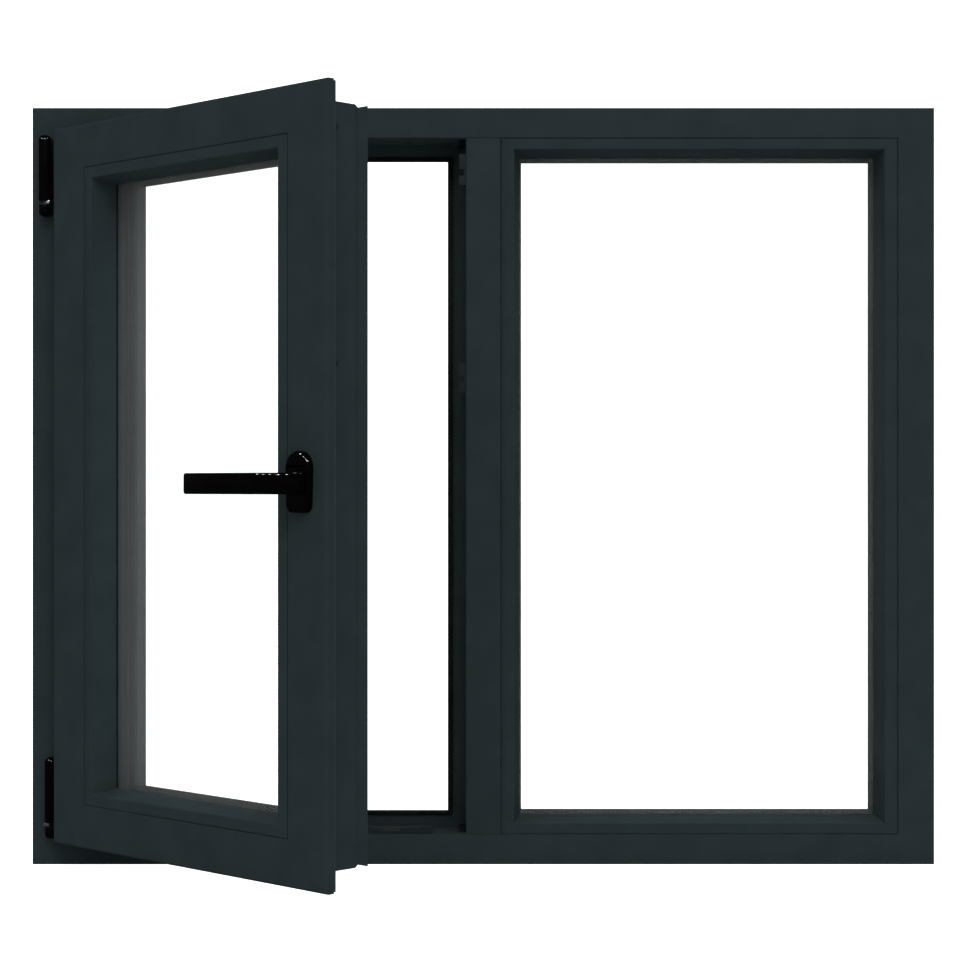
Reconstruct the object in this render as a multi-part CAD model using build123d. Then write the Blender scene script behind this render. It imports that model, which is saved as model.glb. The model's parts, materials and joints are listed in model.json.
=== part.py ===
from build123d import *
import math
import os

# Two-light casement window, seen from the room: a fixed light on the right and an inward-opening sash on
# the left, hung on its left side. Millimetres. X runs to the right, Y away from the room, Z up.
# The origin is the middle of the sill's underside, half way through the frame's depth.
# The sash pieces are modelled shut, then turned about the hinge line to the stored opening.

os.makedirs("parts", exist_ok=True)

# ---- driving dimensions: outer frame
WIDTH = 1192.0
HEIGHT = 1000.0
FRAME_DEPTH = 78.0
RAIL_FACE = 40.0  # visible width of head and sill, outer edge to rebate
UPRIGHT_RATIO = 1.2  # every upright member is this much wider than the level one it meets
MULLION_FACE = 46.4
LIP = 20.8  # outer lip past the rebate floor, on head and sill
LIP_THICK = 6.0
EDGE_ROUND = 2.0

# ---- driving dimensions: profiles
WALL = 3.0
STEEL_WALL = 1.5
STEEL_GAP = 0.2
STEEL_END_GAP = 6.0
CHAMBER_FRONT = 20.0  # room face to the steel's chamber
CHAMBER_BACK = 56.0

# ---- driving dimensions: glazing
UNIT_THICK = 24.0
PANE_THICK = 4.0
PANE_EDGE_GAP = 5.0
OUTER_GASKET = 4.0
INNER_GASKET = 3.0
BEAD_FLAT = 14.5
BEAD_REACH = 21.0
BEAD_GAP = 0.3
SPACER_HEIGHT = 6.5
GASKET_REACH = 2.4  # outer gasket past the lip's edge
GASKET_SEAT = 8.0  # how far a gasket runs in under its bead or lip
GASKET_SHY = 1.0  # inner gasket short of the bead's edge
SPACER_IN = 3.0  # pane edge to the spacer
BLOCK_LENGTH = 100.0
LIP_SEAL = 2.0
LIP_SEAL_SPAN = (6.0, 1.0)  # the seal's two sides, back from the lip's edge

# ---- driving dimensions: sash
OVERLAP = 7.5  # sash flange over the frame's room face
SASH_PROUD = 17.0  # sash front face off the frame's room face
FLANGE_THICK = 12.2
BODY_INSET = 20.3  # flange edge back to the sash's edge face
SASH_DEPTH = 86.5
SASH_FACE = 57.0  # flange edge to bead joint, on the rails
SASH_LIP_THICK = 21.5
SASH_LIP_EDGE = 10.0  # square part of the sash's outer lip, before its slope
SASH_LIP_SLOPE = 6.0
SASH_STEP = 19.5  # outside face to the step round the sash's edge
STEP_RUN = 7.0
STEP_OUT = 2.6
STEP_IN = 0.4
SASH_WALL_OUT = 11.0  # lock edge to the steel's chamber
SASH_STEEL_FRONT = 38.0  # sash front face to the steel's chamber
SASH_WALL_BACK = 22.0
SASH_ROUND = 4.0
SEAL_HEIGHT = 4.4
SEAL_SPAN = (1.5, 5.5)  # the seal's two sides, in from the flange edge
SEAL_STOP = 12.0  # flange edge to the end of the gap the seal leaves for a strap
BEAD_TIP_WALLS = 1.2  # the bead's slope, measured level, in wall thicknesses
OPEN_ANGLE = 44.6  # stored opening, degrees

# ---- driving dimensions: hinges
HINGE_OUT = 17.5  # hinge line to the flange edge
HINGE_PROUD = 12.0  # hinge line in front of the frame's room face
PIN_RADIUS = 2.5
PIN_CLEARANCE = 0.06
EYE_RADIUS = 6.0
EYE_HEIGHT = 4.8
EYE_GAP = 0.2
COVER_OFFSET = 4.0  # cover centre to hinge line: outwards at the top hinge, inwards at the bottom one
COVER_RADIUS = 8.6
COVER_DEPTH = 21.0
COVER_LENGTH = 85.0
COVER_WALL = 1.2
COVER_ROUND = 6.0
CAP_LENGTH = 15.5
CAP_ROUND = 5.0
CAP_SMALLER = 0.6  # the cap's section inside the cover's
UPPER_HINGE_DROP = 126.5  # frame top to the upper eye's centre
LOWER_HINGE = 55.0  # frame underside to the lower eye's centre
STRAP_THICK = 2.6
STRAP_HEIGHT = 14.5
LEAF_LENGTH = 95.0
LEAF_DEPTH = 28.0
LEAF_SCREWS = (30.0, 55.0, 80.0)  # up from the leaf's foot
LEAF_SCREW_IN = 16.0
LEAF_SCREW_LENGTH = 22.0
BEARING_SHORT = 8.0  # cover's closed end to the end of the bearing's plate
BEARING_SCREWS = (42.0, 66.0)  # up from the cover's open end
BEARING_SCREW_LENGTH = 28.0
PIN_SEAT = 0.02  # fit of the pin in its bearing
CAP_BOTTOM = 1.5
HAIR = 0.01  # tolerance for finding an edge by its place

# ---- driving dimensions: lock and handle
PIVOT_RISE = 3.0  # handle's pivot above mid height
BACKSET = 18.4  # lock edge face of the sash body to the spindle
GROOVE_CENTRE = 26.5  # sash front face to the middle of the lock groove
PLATE_WIDTH = 20.0
PLATE_THICK = 2.5
PLATE_FORWARD = 2.8  # the faceplate's middle towards the room from the groove's
PLATE_SLOT = (3.0, 54.0, 2.0)  # slot beside the gearbox: width, height, depth into the stile
PLATE_EDGE = 2.5  # faceplate's room-side edge to the middle of its slot and screws
PLATE_SCREW_RADIUS = 1.4
PLATE_SCREW_HEAD = (2.2, 1.4)
PLATE_SCREW_LENGTH = 14.0
PLATE_SCREW_DROP = 31.0  # each cam to the faceplate screw under it
PLATE_SCREW_BELOW = 130.4  # handle's pivot to the lowest faceplate screw
ROD_WIDTH = 11.0
ROD_THICK = 2.0
ROD_GAP = 0.3
ROD_ROOM = 0.6
ROD_START = 60.0  # sash body's foot to the lock rod's lower end
ROD_OVER = 2.5  # past the top cam
PLATE_END = 8.0
HEAD_SUNK = 0.2
BOTTOM_PLATE_PAST = 60.0
BOTTOM_PLATE_SHORT = 6.0
BOTTOM_ROD_SPAN = (40.0, 22.0)  # before and past its cam
CORNER_LEG = 40.0
GEAR_MODULE = 1.5
GEAR_TEETH = 14
PRESSURE_ANGLE = 25.0
GEAR_THICK = 8.0
ADDENDUM = 0.9
DEDENDUM = 1.25
FLANK_STEPS = 4
RACK_BEFORE, RACK_AFTER = 6, 3  # rack spaces below and above the pivot
TOOTH_ROOT = 0.1  # how far a tooth's root runs into the rod
GEAR_ROOM = 0.4
CASE_HEIGHT = 62.0
CASE_WALL = 3.5
CASE_BACK = 4.0
CASE_BORE = 5.3
POCKET_GAP = 0.2
BACKLASH = 0.35
SPINDLE = 7.0
SQUARE_FIT = 0.05
SPINDLE_HOLE = 6.0
SPINDLE_SHORT = 4.0  # grip's back to the spindle's end
SPINDLE_PAST = 2.0  # past the pinion
CAM_RADIUS = 3.5
CAM_ROOM = 0.5
CAM_SLOT_END = 0.8
CAM_REACH = 12.5  # out of the lock edge
BOTTOM_CAM_REACH = 7.5
MIDDLE_CAM_RISE = 139.0  # handle's pivot to the middle cam
TOP_CAM_DROP = 85.0  # frame top to the top cam
BOTTOM_CAM_IN = 97.8  # mullion to the cam in the lower edge
KEEP_REACH = 9.0
KEEP_BASE = 2.5
KEEP_SLOT = 8.6
KEEP_LIP = 4.6
SILL_KEEP_LENGTH = 105.0
SILL_KEEP_BASE = 4.0
SILL_KEEP_REACH = 8.5
SILL_KEEP_SLOT = 20.0
KEEP_BACK = 14.0  # lock groove's middle to the back of a mullion keep
KEEP_SCREW_END = 7.0
KEEP_SCREW_BACK = 6.0
KEEP_SCREW_LENGTH = 14.0
MIDDLE_KEEP = (19.0, 22.0)  # below and above its cam
TOP_KEEP = (17.0, 24.0)
SILL_KEEP_BACK = 38.0
SILL_KEEP_SCREW_END = 12.0
SILL_KEEP_SCREW_BACK = 22.0
BLOCK_RISE = 7.0  # corner blocks of the rebate
BLOCK_SPAN = (20.0, 44.0)  # their two sides, back from the frame's room face
ROSETTE_HEIGHT = 71.8
ROSETTE_WIDTH = 41.5
ROSETTE_PROUD = 9.0
ROSETTE_RIM = 4.0
ROSETTE_CORNER = 9.5
ROSETTE_TAPER = 1.5  # each side, from the head to the foot
ROSETTE_RISE = 2.0  # its middle above the pivot
ROSETTE_WALL = 2.0
ROSETTE_FACE = 2.5
BASE_PLATE_THICK = 4.0
LEVER_LENGTH = 146.5
LEVER_HEIGHT = 25.0
LEVER_THICK = 13.0
LEVER_PROUD = 59.0
LEVER_FOOT = 36.0  # width of the lever where it leaves the rosette
LEVER_BEND = 38.0  # outside radius of its bend
LEVER_EDGE = 3.5
LEVER_GAP = 0.4
NECK_RADIUS = 9.5
HANDLE_SCREW_SPACING = 43.0
HANDLE_SCREW = 2.5

# ---- driving dimensions: fixings
FIXING_RADIUS = 4.0
FIXING_END = 150.0  # frame corner to the first fixing up or down a jamb
HEAD_FIXING_IN = (148.0, 76.8)  # jamb and mullion to the fixings in the head
SCREW_RADIUS = 2.0
SCREW_HEAD_RADIUS = 3.8
SCREW_HEAD = 1.8
HOLE_CLEARANCE = 0.1

# ---- places worked out from the sizes above
ROOM_Y = -FRAME_DEPTH / 2
OUT_Y = FRAME_DEPTH / 2
LEFT, RIGHT = -WIDTH / 2, WIDTH / 2
UPRIGHT_FACE = RAIL_FACE * UPRIGHT_RATIO
REBATE_LEFT = LEFT + UPRIGHT_FACE
REBATE_RIGHT = RIGHT - UPRIGHT_FACE
REBATE_LOW = RAIL_FACE
REBATE_HIGH = HEIGHT - RAIL_FACE
MULLION_LEFT = -MULLION_FACE / 2
MULLION_RIGHT = MULLION_FACE / 2
LIP_Y = OUT_Y - LIP_THICK

SASH_LEFT = REBATE_LEFT - OVERLAP
SASH_RIGHT = MULLION_LEFT + OVERLAP
SASH_LOW = REBATE_LOW - OVERLAP
SASH_HIGH = REBATE_HIGH + OVERLAP
SASH_Y = ROOM_Y - SASH_PROUD
FLANGE_Y = SASH_Y + FLANGE_THICK
BODY_LEFT = SASH_LEFT + BODY_INSET * UPRIGHT_RATIO
BODY_RIGHT = SASH_RIGHT - BODY_INSET * UPRIGHT_RATIO
BODY_LOW = SASH_LOW + BODY_INSET
BODY_HIGH = SASH_HIGH - BODY_INSET
UPPER_HINGE = HEIGHT - UPPER_HINGE_DROP
PIVOT_HEIGHT = HEIGHT / 2 + PIVOT_RISE
CAM_HEIGHTS = (PIVOT_HEIGHT + MIDDLE_CAM_RISE, HEIGHT - TOP_CAM_DROP)
BOTTOM_CAM_X = MULLION_LEFT - BOTTOM_CAM_IN
HINGE_X = SASH_LEFT - HINGE_OUT
HINGE_Y = ROOM_Y - HINGE_PROUD
PIVOT_X = BODY_RIGHT - BACKSET
GROOVE_Y = SASH_Y + GROOVE_CENTRE
PITCH_RADIUS = GEAR_MODULE * GEAR_TEETH / 2
ROD_TRAVEL = PITCH_RADIUS * math.pi / 2

HINGE_AXIS = Axis((HINGE_X, HINGE_Y, 0), (0, 0, 1))


# ---- helpers
def box(x0, x1, y0, y1, z0, z1):
    """A block between two corners."""
    low = [min(a, b) for a, b in ((x0, x1), (y0, y1), (z0, z1))]
    high = [max(a, b) for a, b in ((x0, x1), (y0, y1), (z0, z1))]
    size = [b - a for a, b in zip(low, high)]
    return Pos(*[(a + b) / 2 for a, b in zip(low, high)]) * Box(*size)


def rod(start, direction, radius, length):
    """A round bar from a point along a direction."""
    return Solid.extrude(Face(Wire(Edge.make_circle(radius, Plane(start, z_dir=direction)))),
                         Vector(*direction).normalized() * length)


def outline(points, rounds=None):
    """A flat face in XY with some corners rounded: {corner number: radius}."""
    face = make_face(Polyline(*points, close=True))
    for number, radius in (rounds or {}).items():
        spot = Vector(*points[number], 0)
        corner = [v for v in face.vertices() if (Vector(*v) - spot).length < 1e-4]
        face = fillet(corner, radius)
    return face


def along(points, axis, start, end, rounds=None):
    """A section run along an axis: (x, y) for Z, (x, z) for Y, (y, z) for X."""
    plane = {
        "Z": Plane(origin=(0, 0, start), x_dir=(1, 0, 0), z_dir=(0, 0, 1)),
        "Y": Plane(origin=(0, start, 0), x_dir=(1, 0, 0), z_dir=(0, -1, 0)),
        "X": Plane(origin=(start, 0, 0), x_dir=(0, 1, 0), z_dir=(1, 0, 0)),
    }[axis]
    run = {"Z": (0, 0, 1), "Y": (0, 1, 0), "X": (1, 0, 0)}[axis]
    return extrude(plane * outline(points, rounds), amount=end - start, dir=run)


def member(ring, side, section, front, rounds=None, ratio=UPRIGHT_RATIO):
    """One mitred side of a rectangular ring (left, right, low, high).

    A section point is (inwards from the ring's edge, back from the front). Uprights are wider than rails by
    the ratio, and the mitre runs at the same ratio, so both meet along one plane.
    """
    left, right, low, high = ring
    reach = max(u for u, d in section) + 1
    back = max(d for u, d in section) + 1
    if side in ("left", "right"):
        edge, way = (left, 1) if side == "left" else (right, -1)
        points = [(edge + way * ratio * u, front + d) for u, d in section]
        bar = along(points, "Z", low, high, rounds)
        cut = [(edge, low), (edge + way * ratio * reach, low + reach),
               (edge + way * ratio * reach, high - reach), (edge, high)]
    else:
        edge, way = (low, 1) if side == "low" else (high, -1)
        points = [(front + d, edge + way * u) for u, d in section]
        bar = along(points, "X", left, right, rounds)
        cut = [(left, edge), (left + ratio * reach, edge + way * reach),
               (right - ratio * reach, edge + way * reach), (right, edge)]
    wedge = along(cut, "Y", front - 1, front + back)
    return bar & wedge


def ring_of(section, ring, front, rounds=None, ratio=UPRIGHT_RATIO, chambers=()):
    """The four mitred members of a ring, each with its chambers cut out."""
    members = {}
    for side in ("high", "low", "left", "right"):
        bar = member(ring, side, section, front, rounds, ratio)
        for chamber in chambers:
            bar -= member(ring, side, chamber, front, None, ratio)
        members[side] = bar
    return members


def rectangle(u0, u1, d0, d1):
    """A section rectangle."""
    return [(u0, d0), (u1, d0), (u1, d1), (u0, d1)]


def group(shapes):
    """Separate solids in one node."""
    solids = []
    for shape in shapes:
        solids += list(shape.solids())
    return Compound(children=solids)


def screw(start, direction, length, radius=SCREW_RADIUS):
    """A pan-head screw: head behind the start, shank along the direction."""
    back = [-c for c in direction]
    head = rod(start, back, SCREW_HEAD_RADIUS, SCREW_HEAD)
    return head + rod(start, direction, radius, length)


def hole(start, direction, length, radius=SCREW_RADIUS):
    """The hole that a screw's shank passes through."""
    return rod(start, direction, radius + HOLE_CLEARANCE, length)


NODES = {}
SASH_NODES = {}

# ---- outer frame
FRAME_RING = (LEFT, RIGHT, 0.0, HEIGHT)
FRAME_SECTION = [(0, 0), (RAIL_FACE, 0), (RAIL_FACE, FRAME_DEPTH - LIP_THICK),
                 (RAIL_FACE + LIP, FRAME_DEPTH - LIP_THICK), (RAIL_FACE + LIP, FRAME_DEPTH), (0, FRAME_DEPTH)]
FRAME_CHAMBERS = [
    rectangle(WALL, RAIL_FACE - WALL, WALL, CHAMBER_FRONT - WALL),
    rectangle(WALL, RAIL_FACE - WALL, CHAMBER_FRONT, CHAMBER_BACK),
    rectangle(WALL, RAIL_FACE - WALL, CHAMBER_BACK + WALL, FRAME_DEPTH - WALL),
]
frame = ring_of(FRAME_SECTION, FRAME_RING, ROOM_Y, {1: EDGE_ROUND}, chambers=FRAME_CHAMBERS)

# mullion: full rebate height, its lips stopping at the head's and sill's lips
lip_across = LIP * UPRIGHT_RATIO
mullion_points = [
    (MULLION_LEFT, ROOM_Y), (MULLION_RIGHT, ROOM_Y), (MULLION_RIGHT, LIP_Y),
    (MULLION_RIGHT + lip_across, LIP_Y), (MULLION_RIGHT + lip_across, OUT_Y),
    (MULLION_LEFT - lip_across, OUT_Y), (MULLION_LEFT - lip_across, LIP_Y), (MULLION_LEFT, LIP_Y)]
mullion = along(mullion_points, "Z", REBATE_LOW, REBATE_HIGH, {0: EDGE_ROUND, 1: EDGE_ROUND})
for front, back in ((WALL, CHAMBER_FRONT - WALL), (CHAMBER_FRONT, CHAMBER_BACK),
                    (CHAMBER_BACK + WALL, FRAME_DEPTH - WALL)):
    mullion -= box(MULLION_LEFT + WALL, MULLION_RIGHT - WALL, ROOM_Y + front, ROOM_Y + back,
                   REBATE_LOW, REBATE_HIGH)
for low, high in ((REBATE_LOW, REBATE_LOW + LIP), (REBATE_HIGH - LIP, REBATE_HIGH)):
    mullion -= box(MULLION_LEFT - 2 * LIP, MULLION_RIGHT + 2 * LIP, LIP_Y, OUT_Y, low, high)


def steel_tube(x0, x1, y0, y1, z0, z1, run):
    """A square steel tube along X or Z, open at both ends."""
    tube = box(x0, x1, y0, y1, z0, z1)
    if run == "Z":
        return tube - box(x0 + STEEL_WALL, x1 - STEEL_WALL, y0 + STEEL_WALL, y1 - STEEL_WALL, z0, z1)
    return tube - box(x0, x1, y0 + STEEL_WALL, y1 - STEEL_WALL, z0 + STEEL_WALL, z1 - STEEL_WALL)


steel_front = ROOM_Y + CHAMBER_FRONT + STEEL_GAP
steel_back = ROOM_Y + CHAMBER_BACK - STEEL_GAP
rail_in, rail_out = WALL + STEEL_GAP, RAIL_FACE - WALL - STEEL_GAP
jamb_in, jamb_out = rail_in * UPRIGHT_RATIO, rail_out * UPRIGHT_RATIO
steel_low, steel_high = RAIL_FACE + STEEL_END_GAP, HEIGHT - RAIL_FACE - STEEL_END_GAP
steel_reach = REBATE_RIGHT - STEEL_END_GAP
frame_steel = {
    "left": steel_tube(LEFT + jamb_in, LEFT + jamb_out, steel_front, steel_back, steel_low, steel_high, "Z"),
    "right": steel_tube(RIGHT - jamb_out, RIGHT - jamb_in, steel_front, steel_back, steel_low, steel_high, "Z"),
    "low": steel_tube(-steel_reach, steel_reach, steel_front, steel_back, rail_in, rail_out, "X"),
    "high": steel_tube(-steel_reach, steel_reach, steel_front, steel_back,
                       HEIGHT - rail_out, HEIGHT - rail_in, "X"),
}
mullion_steel = steel_tube(MULLION_LEFT + WALL + STEEL_GAP, MULLION_RIGHT - WALL - STEEL_GAP,
                           steel_front, steel_back, REBATE_LOW, REBATE_HIGH, "Z")

# mullion connectors: a block in each end of the mullion's steel, held by a screw through head or sill
CONNECTOR_HEIGHT = 32.0
CONNECTOR_GAP = 0.3
connector_x = MULLION_RIGHT - WALL - STEEL_GAP - STEEL_WALL - CONNECTOR_GAP
connector_y = (steel_front + STEEL_WALL + CONNECTOR_GAP, steel_back - STEEL_WALL - CONNECTOR_GAP)
centre_y = (steel_front + steel_back) / 2
CONNECTOR_SCREW = 3.0
CONNECTOR_SCREW_BACK = 10.0  # behind the profile's middle
screw_y = centre_y + CONNECTOR_SCREW_BACK
CONNECTOR_SINK = 12.0
CONNECTOR_SINK_RADIUS = 6.0
CONNECTOR_HEAD = (5.5, 3.0)  # radius and height of the screw's head
connectors, connector_screws = [], []
for level, way, side in ((REBATE_LOW, 1, "low"), (REBATE_HIGH, -1, "high")):
    block = box(-connector_x, connector_x, *connector_y, level, level + way * CONNECTOR_HEIGHT)
    start = (0, screw_y, level - way * (RAIL_FACE - CONNECTOR_SINK))
    length = RAIL_FACE - CONNECTOR_SINK + CONNECTOR_HEIGHT - 4
    shank = rod(start, (0, 0, way), CONNECTOR_SCREW, length)
    passage = rod(start, (0, 0, way), CONNECTOR_SCREW + HOLE_CLEARANCE, length)
    sink = rod((0, screw_y, level - way * RAIL_FACE), (0, 0, way), CONNECTOR_SINK_RADIUS, CONNECTOR_SINK)
    connectors.append(block - passage)
    connector_screws.append(shank + rod(start, (0, 0, -way), *CONNECTOR_HEAD))
    frame[side] -= passage + sink
    frame_steel[side] -= passage + sink

# ---- wall fixings: round holes right through the left jamb, the right jamb and the head
FIXING_HEIGHTS = (FIXING_END, HEIGHT / 2, HEIGHT - FIXING_END)
FIXING_Y = centre_y
RIGHT_FIXING_Y = OUT_Y - LIP_THICK - OUTER_GASKET - UNIT_THICK / 2 + 4
HEAD_FIXING_X = (REBATE_LEFT + HEAD_FIXING_IN[0], MULLION_LEFT - HEAD_FIXING_IN[1])
for height in FIXING_HEIGHTS:
    drill = rod((LEFT - 1, FIXING_Y, height), (1, 0, 0), FIXING_RADIUS, UPRIGHT_FACE + 2)
    frame["left"] -= drill
    frame_steel["left"] -= drill
    frame["right"] -= rod((RIGHT + 1, RIGHT_FIXING_Y, height), (-1, 0, 0), FIXING_RADIUS, UPRIGHT_FACE + 2)
for across in HEAD_FIXING_X:
    drill = rod((across, FIXING_Y, HEIGHT + 1), (0, 0, -1), FIXING_RADIUS, RAIL_FACE + 2)
    frame["high"] -= drill
    frame_steel["high"] -= drill


# ---- glazing, the same in both lights
def glazing(name, ring, pane_front, front, store, lip_reach):
    """Beads, panes, spacer, gaskets and blocks of one light. Ring is the rebate floor."""
    left, right, low, high = ring
    bead_back = pane_front - INNER_GASKET - front
    bead_section = [(BEAD_GAP, 0), (BEAD_FLAT, 0), (BEAD_REACH, bead_back), (BEAD_GAP, bead_back)]
    hollow = [(BEAD_GAP + WALL, WALL), (BEAD_FLAT - WALL, WALL),
              (BEAD_REACH - BEAD_TIP_WALLS * WALL, bead_back - WALL), (BEAD_GAP + WALL, bead_back - WALL)]
    beads = ring_of(bead_section, ring, front, {1: EDGE_ROUND}, chambers=[hollow])
    for side, word in (("high", "top"), ("low", "bottom"), ("left", "left"), ("right", "right")):
        store[f"{name}_bead_{word}"] = beads[side]
    gap = PANE_EDGE_GAP
    edges = (left + gap, right - gap)
    levels = (low + gap, high - gap)
    second = pane_front + UNIT_THICK - PANE_THICK
    store[f"{name}_pane_inner"] = box(*edges, pane_front, pane_front + PANE_THICK, *levels)
    store[f"{name}_pane_outer"] = box(*edges, second, second + PANE_THICK, *levels)
    inset = SPACER_HEIGHT + SPACER_IN
    spacer = box(edges[0] + SPACER_IN, edges[1] - SPACER_IN, pane_front + PANE_THICK, second,
                 levels[0] + SPACER_IN, levels[1] - SPACER_IN)
    spacer -= box(edges[0] + inset, edges[1] - inset, pane_front, second + 1,
                  levels[0] + inset, levels[1] - inset)
    store[f"{name}_spacer"] = spacer
    inner_section = rectangle(BEAD_REACH - GASKET_SEAT, BEAD_REACH - GASKET_SHY, 0, INNER_GASKET)
    inner = ring_of(inner_section, ring, pane_front - INNER_GASKET)
    outer_front = pane_front + UNIT_THICK
    outer_section = rectangle(lip_reach - GASKET_SEAT, lip_reach + GASKET_REACH, 0, OUTER_GASKET)
    outer = ring_of(outer_section, ring, outer_front)
    store[f"{name}_gaskets"] = group([*inner.values(), *outer.values()])
    quarter = (right - left) / 4
    blocks = []
    for centre in (left + quarter, right - quarter):
        blocks.append(box(centre - BLOCK_LENGTH / 2, centre + BLOCK_LENGTH / 2,
                          pane_front, pane_front + UNIT_THICK, low, low + gap))
    store[f"{name}_setting_blocks"] = group(blocks)


FIXED_RING = (MULLION_RIGHT, REBATE_RIGHT, REBATE_LOW, REBATE_HIGH)
glazing("fixed", FIXED_RING, LIP_Y - OUTER_GASKET - UNIT_THICK, ROOM_Y, NODES, LIP)

# ---- weather seal on the outer lip of the opening light
OPENING_RING = (REBATE_LEFT, MULLION_LEFT, REBATE_LOW, REBATE_HIGH)
seal_back, seal_edge = LIP_SEAL_SPAN
lip_seal = ring_of(rectangle(LIP - seal_back, LIP - seal_edge, 0, LIP_SEAL), OPENING_RING, LIP_Y - LIP_SEAL)
NODES["frame_seal"] = group(lip_seal.values())

# ---- sash
SASH_RING = (SASH_LEFT, SASH_RIGHT, SASH_LOW, SASH_HIGH)
step_depth = SASH_DEPTH - SASH_STEP
sash_lip_front = SASH_DEPTH - SASH_LIP_THICK
SASH_SECTION = [
    (0, 0), (SASH_FACE, 0), (SASH_FACE, sash_lip_front), (SASH_FACE + LIP, sash_lip_front),
    (SASH_FACE + LIP, sash_lip_front + SASH_LIP_EDGE), (SASH_FACE + LIP - SASH_LIP_SLOPE, SASH_DEPTH),
    (BODY_INSET - STEP_IN, SASH_DEPTH), (BODY_INSET + STEP_OUT, step_depth + STEP_RUN),
    (BODY_INSET, step_depth), (BODY_INSET, FLANGE_THICK), (0, FLANGE_THICK)]
SASH_CHAMBER_OUT = BODY_INSET + SASH_WALL_OUT
SASH_CHAMBER_BACK = SASH_DEPTH - SASH_WALL_BACK
SASH_CHAMBERS = [
    rectangle(WALL, SASH_FACE - WALL, WALL, FLANGE_THICK - WALL),
    rectangle(SASH_CHAMBER_OUT, SASH_FACE - WALL, SASH_STEEL_FRONT, SASH_CHAMBER_BACK),
]
sash = ring_of(SASH_SECTION, SASH_RING, SASH_Y, {0: SASH_ROUND, 1: EDGE_ROUND}, chambers=SASH_CHAMBERS)

sash_steel_y = (SASH_Y + SASH_STEEL_FRONT + STEEL_GAP, SASH_Y + SASH_CHAMBER_BACK - STEEL_GAP)
sash_steel_u = (SASH_CHAMBER_OUT + STEEL_GAP, SASH_FACE - WALL - STEEL_GAP)
sash_steel_x = [u * UPRIGHT_RATIO for u in sash_steel_u]
sash_end = SASH_FACE + STEEL_END_GAP
sash_reach = (SASH_LEFT + sash_end * UPRIGHT_RATIO, SASH_RIGHT - sash_end * UPRIGHT_RATIO)
sash_rise = (SASH_LOW + sash_end, SASH_HIGH - sash_end)
sash_steel = {
    "left": steel_tube(SASH_LEFT + sash_steel_x[0], SASH_LEFT + sash_steel_x[1], *sash_steel_y,
                       *sash_rise, "Z"),
    "right": steel_tube(SASH_RIGHT - sash_steel_x[1], SASH_RIGHT - sash_steel_x[0], *sash_steel_y,
                        *sash_rise, "Z"),
    "low": steel_tube(*sash_reach, *sash_steel_y, SASH_LOW + sash_steel_u[0], SASH_LOW + sash_steel_u[1], "X"),
    "high": steel_tube(*sash_reach, *sash_steel_y, SASH_HIGH - sash_steel_u[1],
                       SASH_HIGH - sash_steel_u[0], "X"),
}

SASH_GLASS_RING = (SASH_LEFT + SASH_FACE * UPRIGHT_RATIO, SASH_RIGHT - SASH_FACE * UPRIGHT_RATIO,
                   SASH_LOW + SASH_FACE, SASH_HIGH - SASH_FACE)
glazing("sash", SASH_GLASS_RING, SASH_Y + sash_lip_front - OUTER_GASKET - UNIT_THICK, SASH_Y,
        SASH_NODES, LIP)

# seal behind the flange, stopped either side of each hinge strap
sash_seal = ring_of(rectangle(*SEAL_SPAN, 0, SEAL_HEIGHT), SASH_RING, FLANGE_Y)
for height in (LOWER_HINGE, UPPER_HINGE):
    sash_seal["left"] -= box(SASH_LEFT - 1, SASH_LEFT + SEAL_STOP, FLANGE_Y - 1, ROOM_Y,
                             height - STRAP_HEIGHT / 2 - 1, height + STRAP_HEIGHT / 2 + 1)
SASH_NODES["sash_seal"] = group(sash_seal.values())


# ---- hinges
def d_column(centre, radius, depth, low, high):
    """A column standing off the frame's face: flat back, half-round front."""
    round_y = ROOM_Y - depth + radius
    column = rod((centre, round_y, low), (0, 0, 1), radius, high - low)
    return column + box(centre - radius, centre + radius, round_y, ROOM_Y, low, high)


def rounded_end(column, level, radius):
    """The column with the edges of the end face at one level rounded, its flat back left sharp."""
    edges = [e for e in column.edges()
             if abs(e.center().Z - level) < HAIR and abs(e.bounding_box().size.Z) < HAIR
             and e.center().Y < ROOM_Y - HAIR]
    return fillet(edges, radius)


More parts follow.
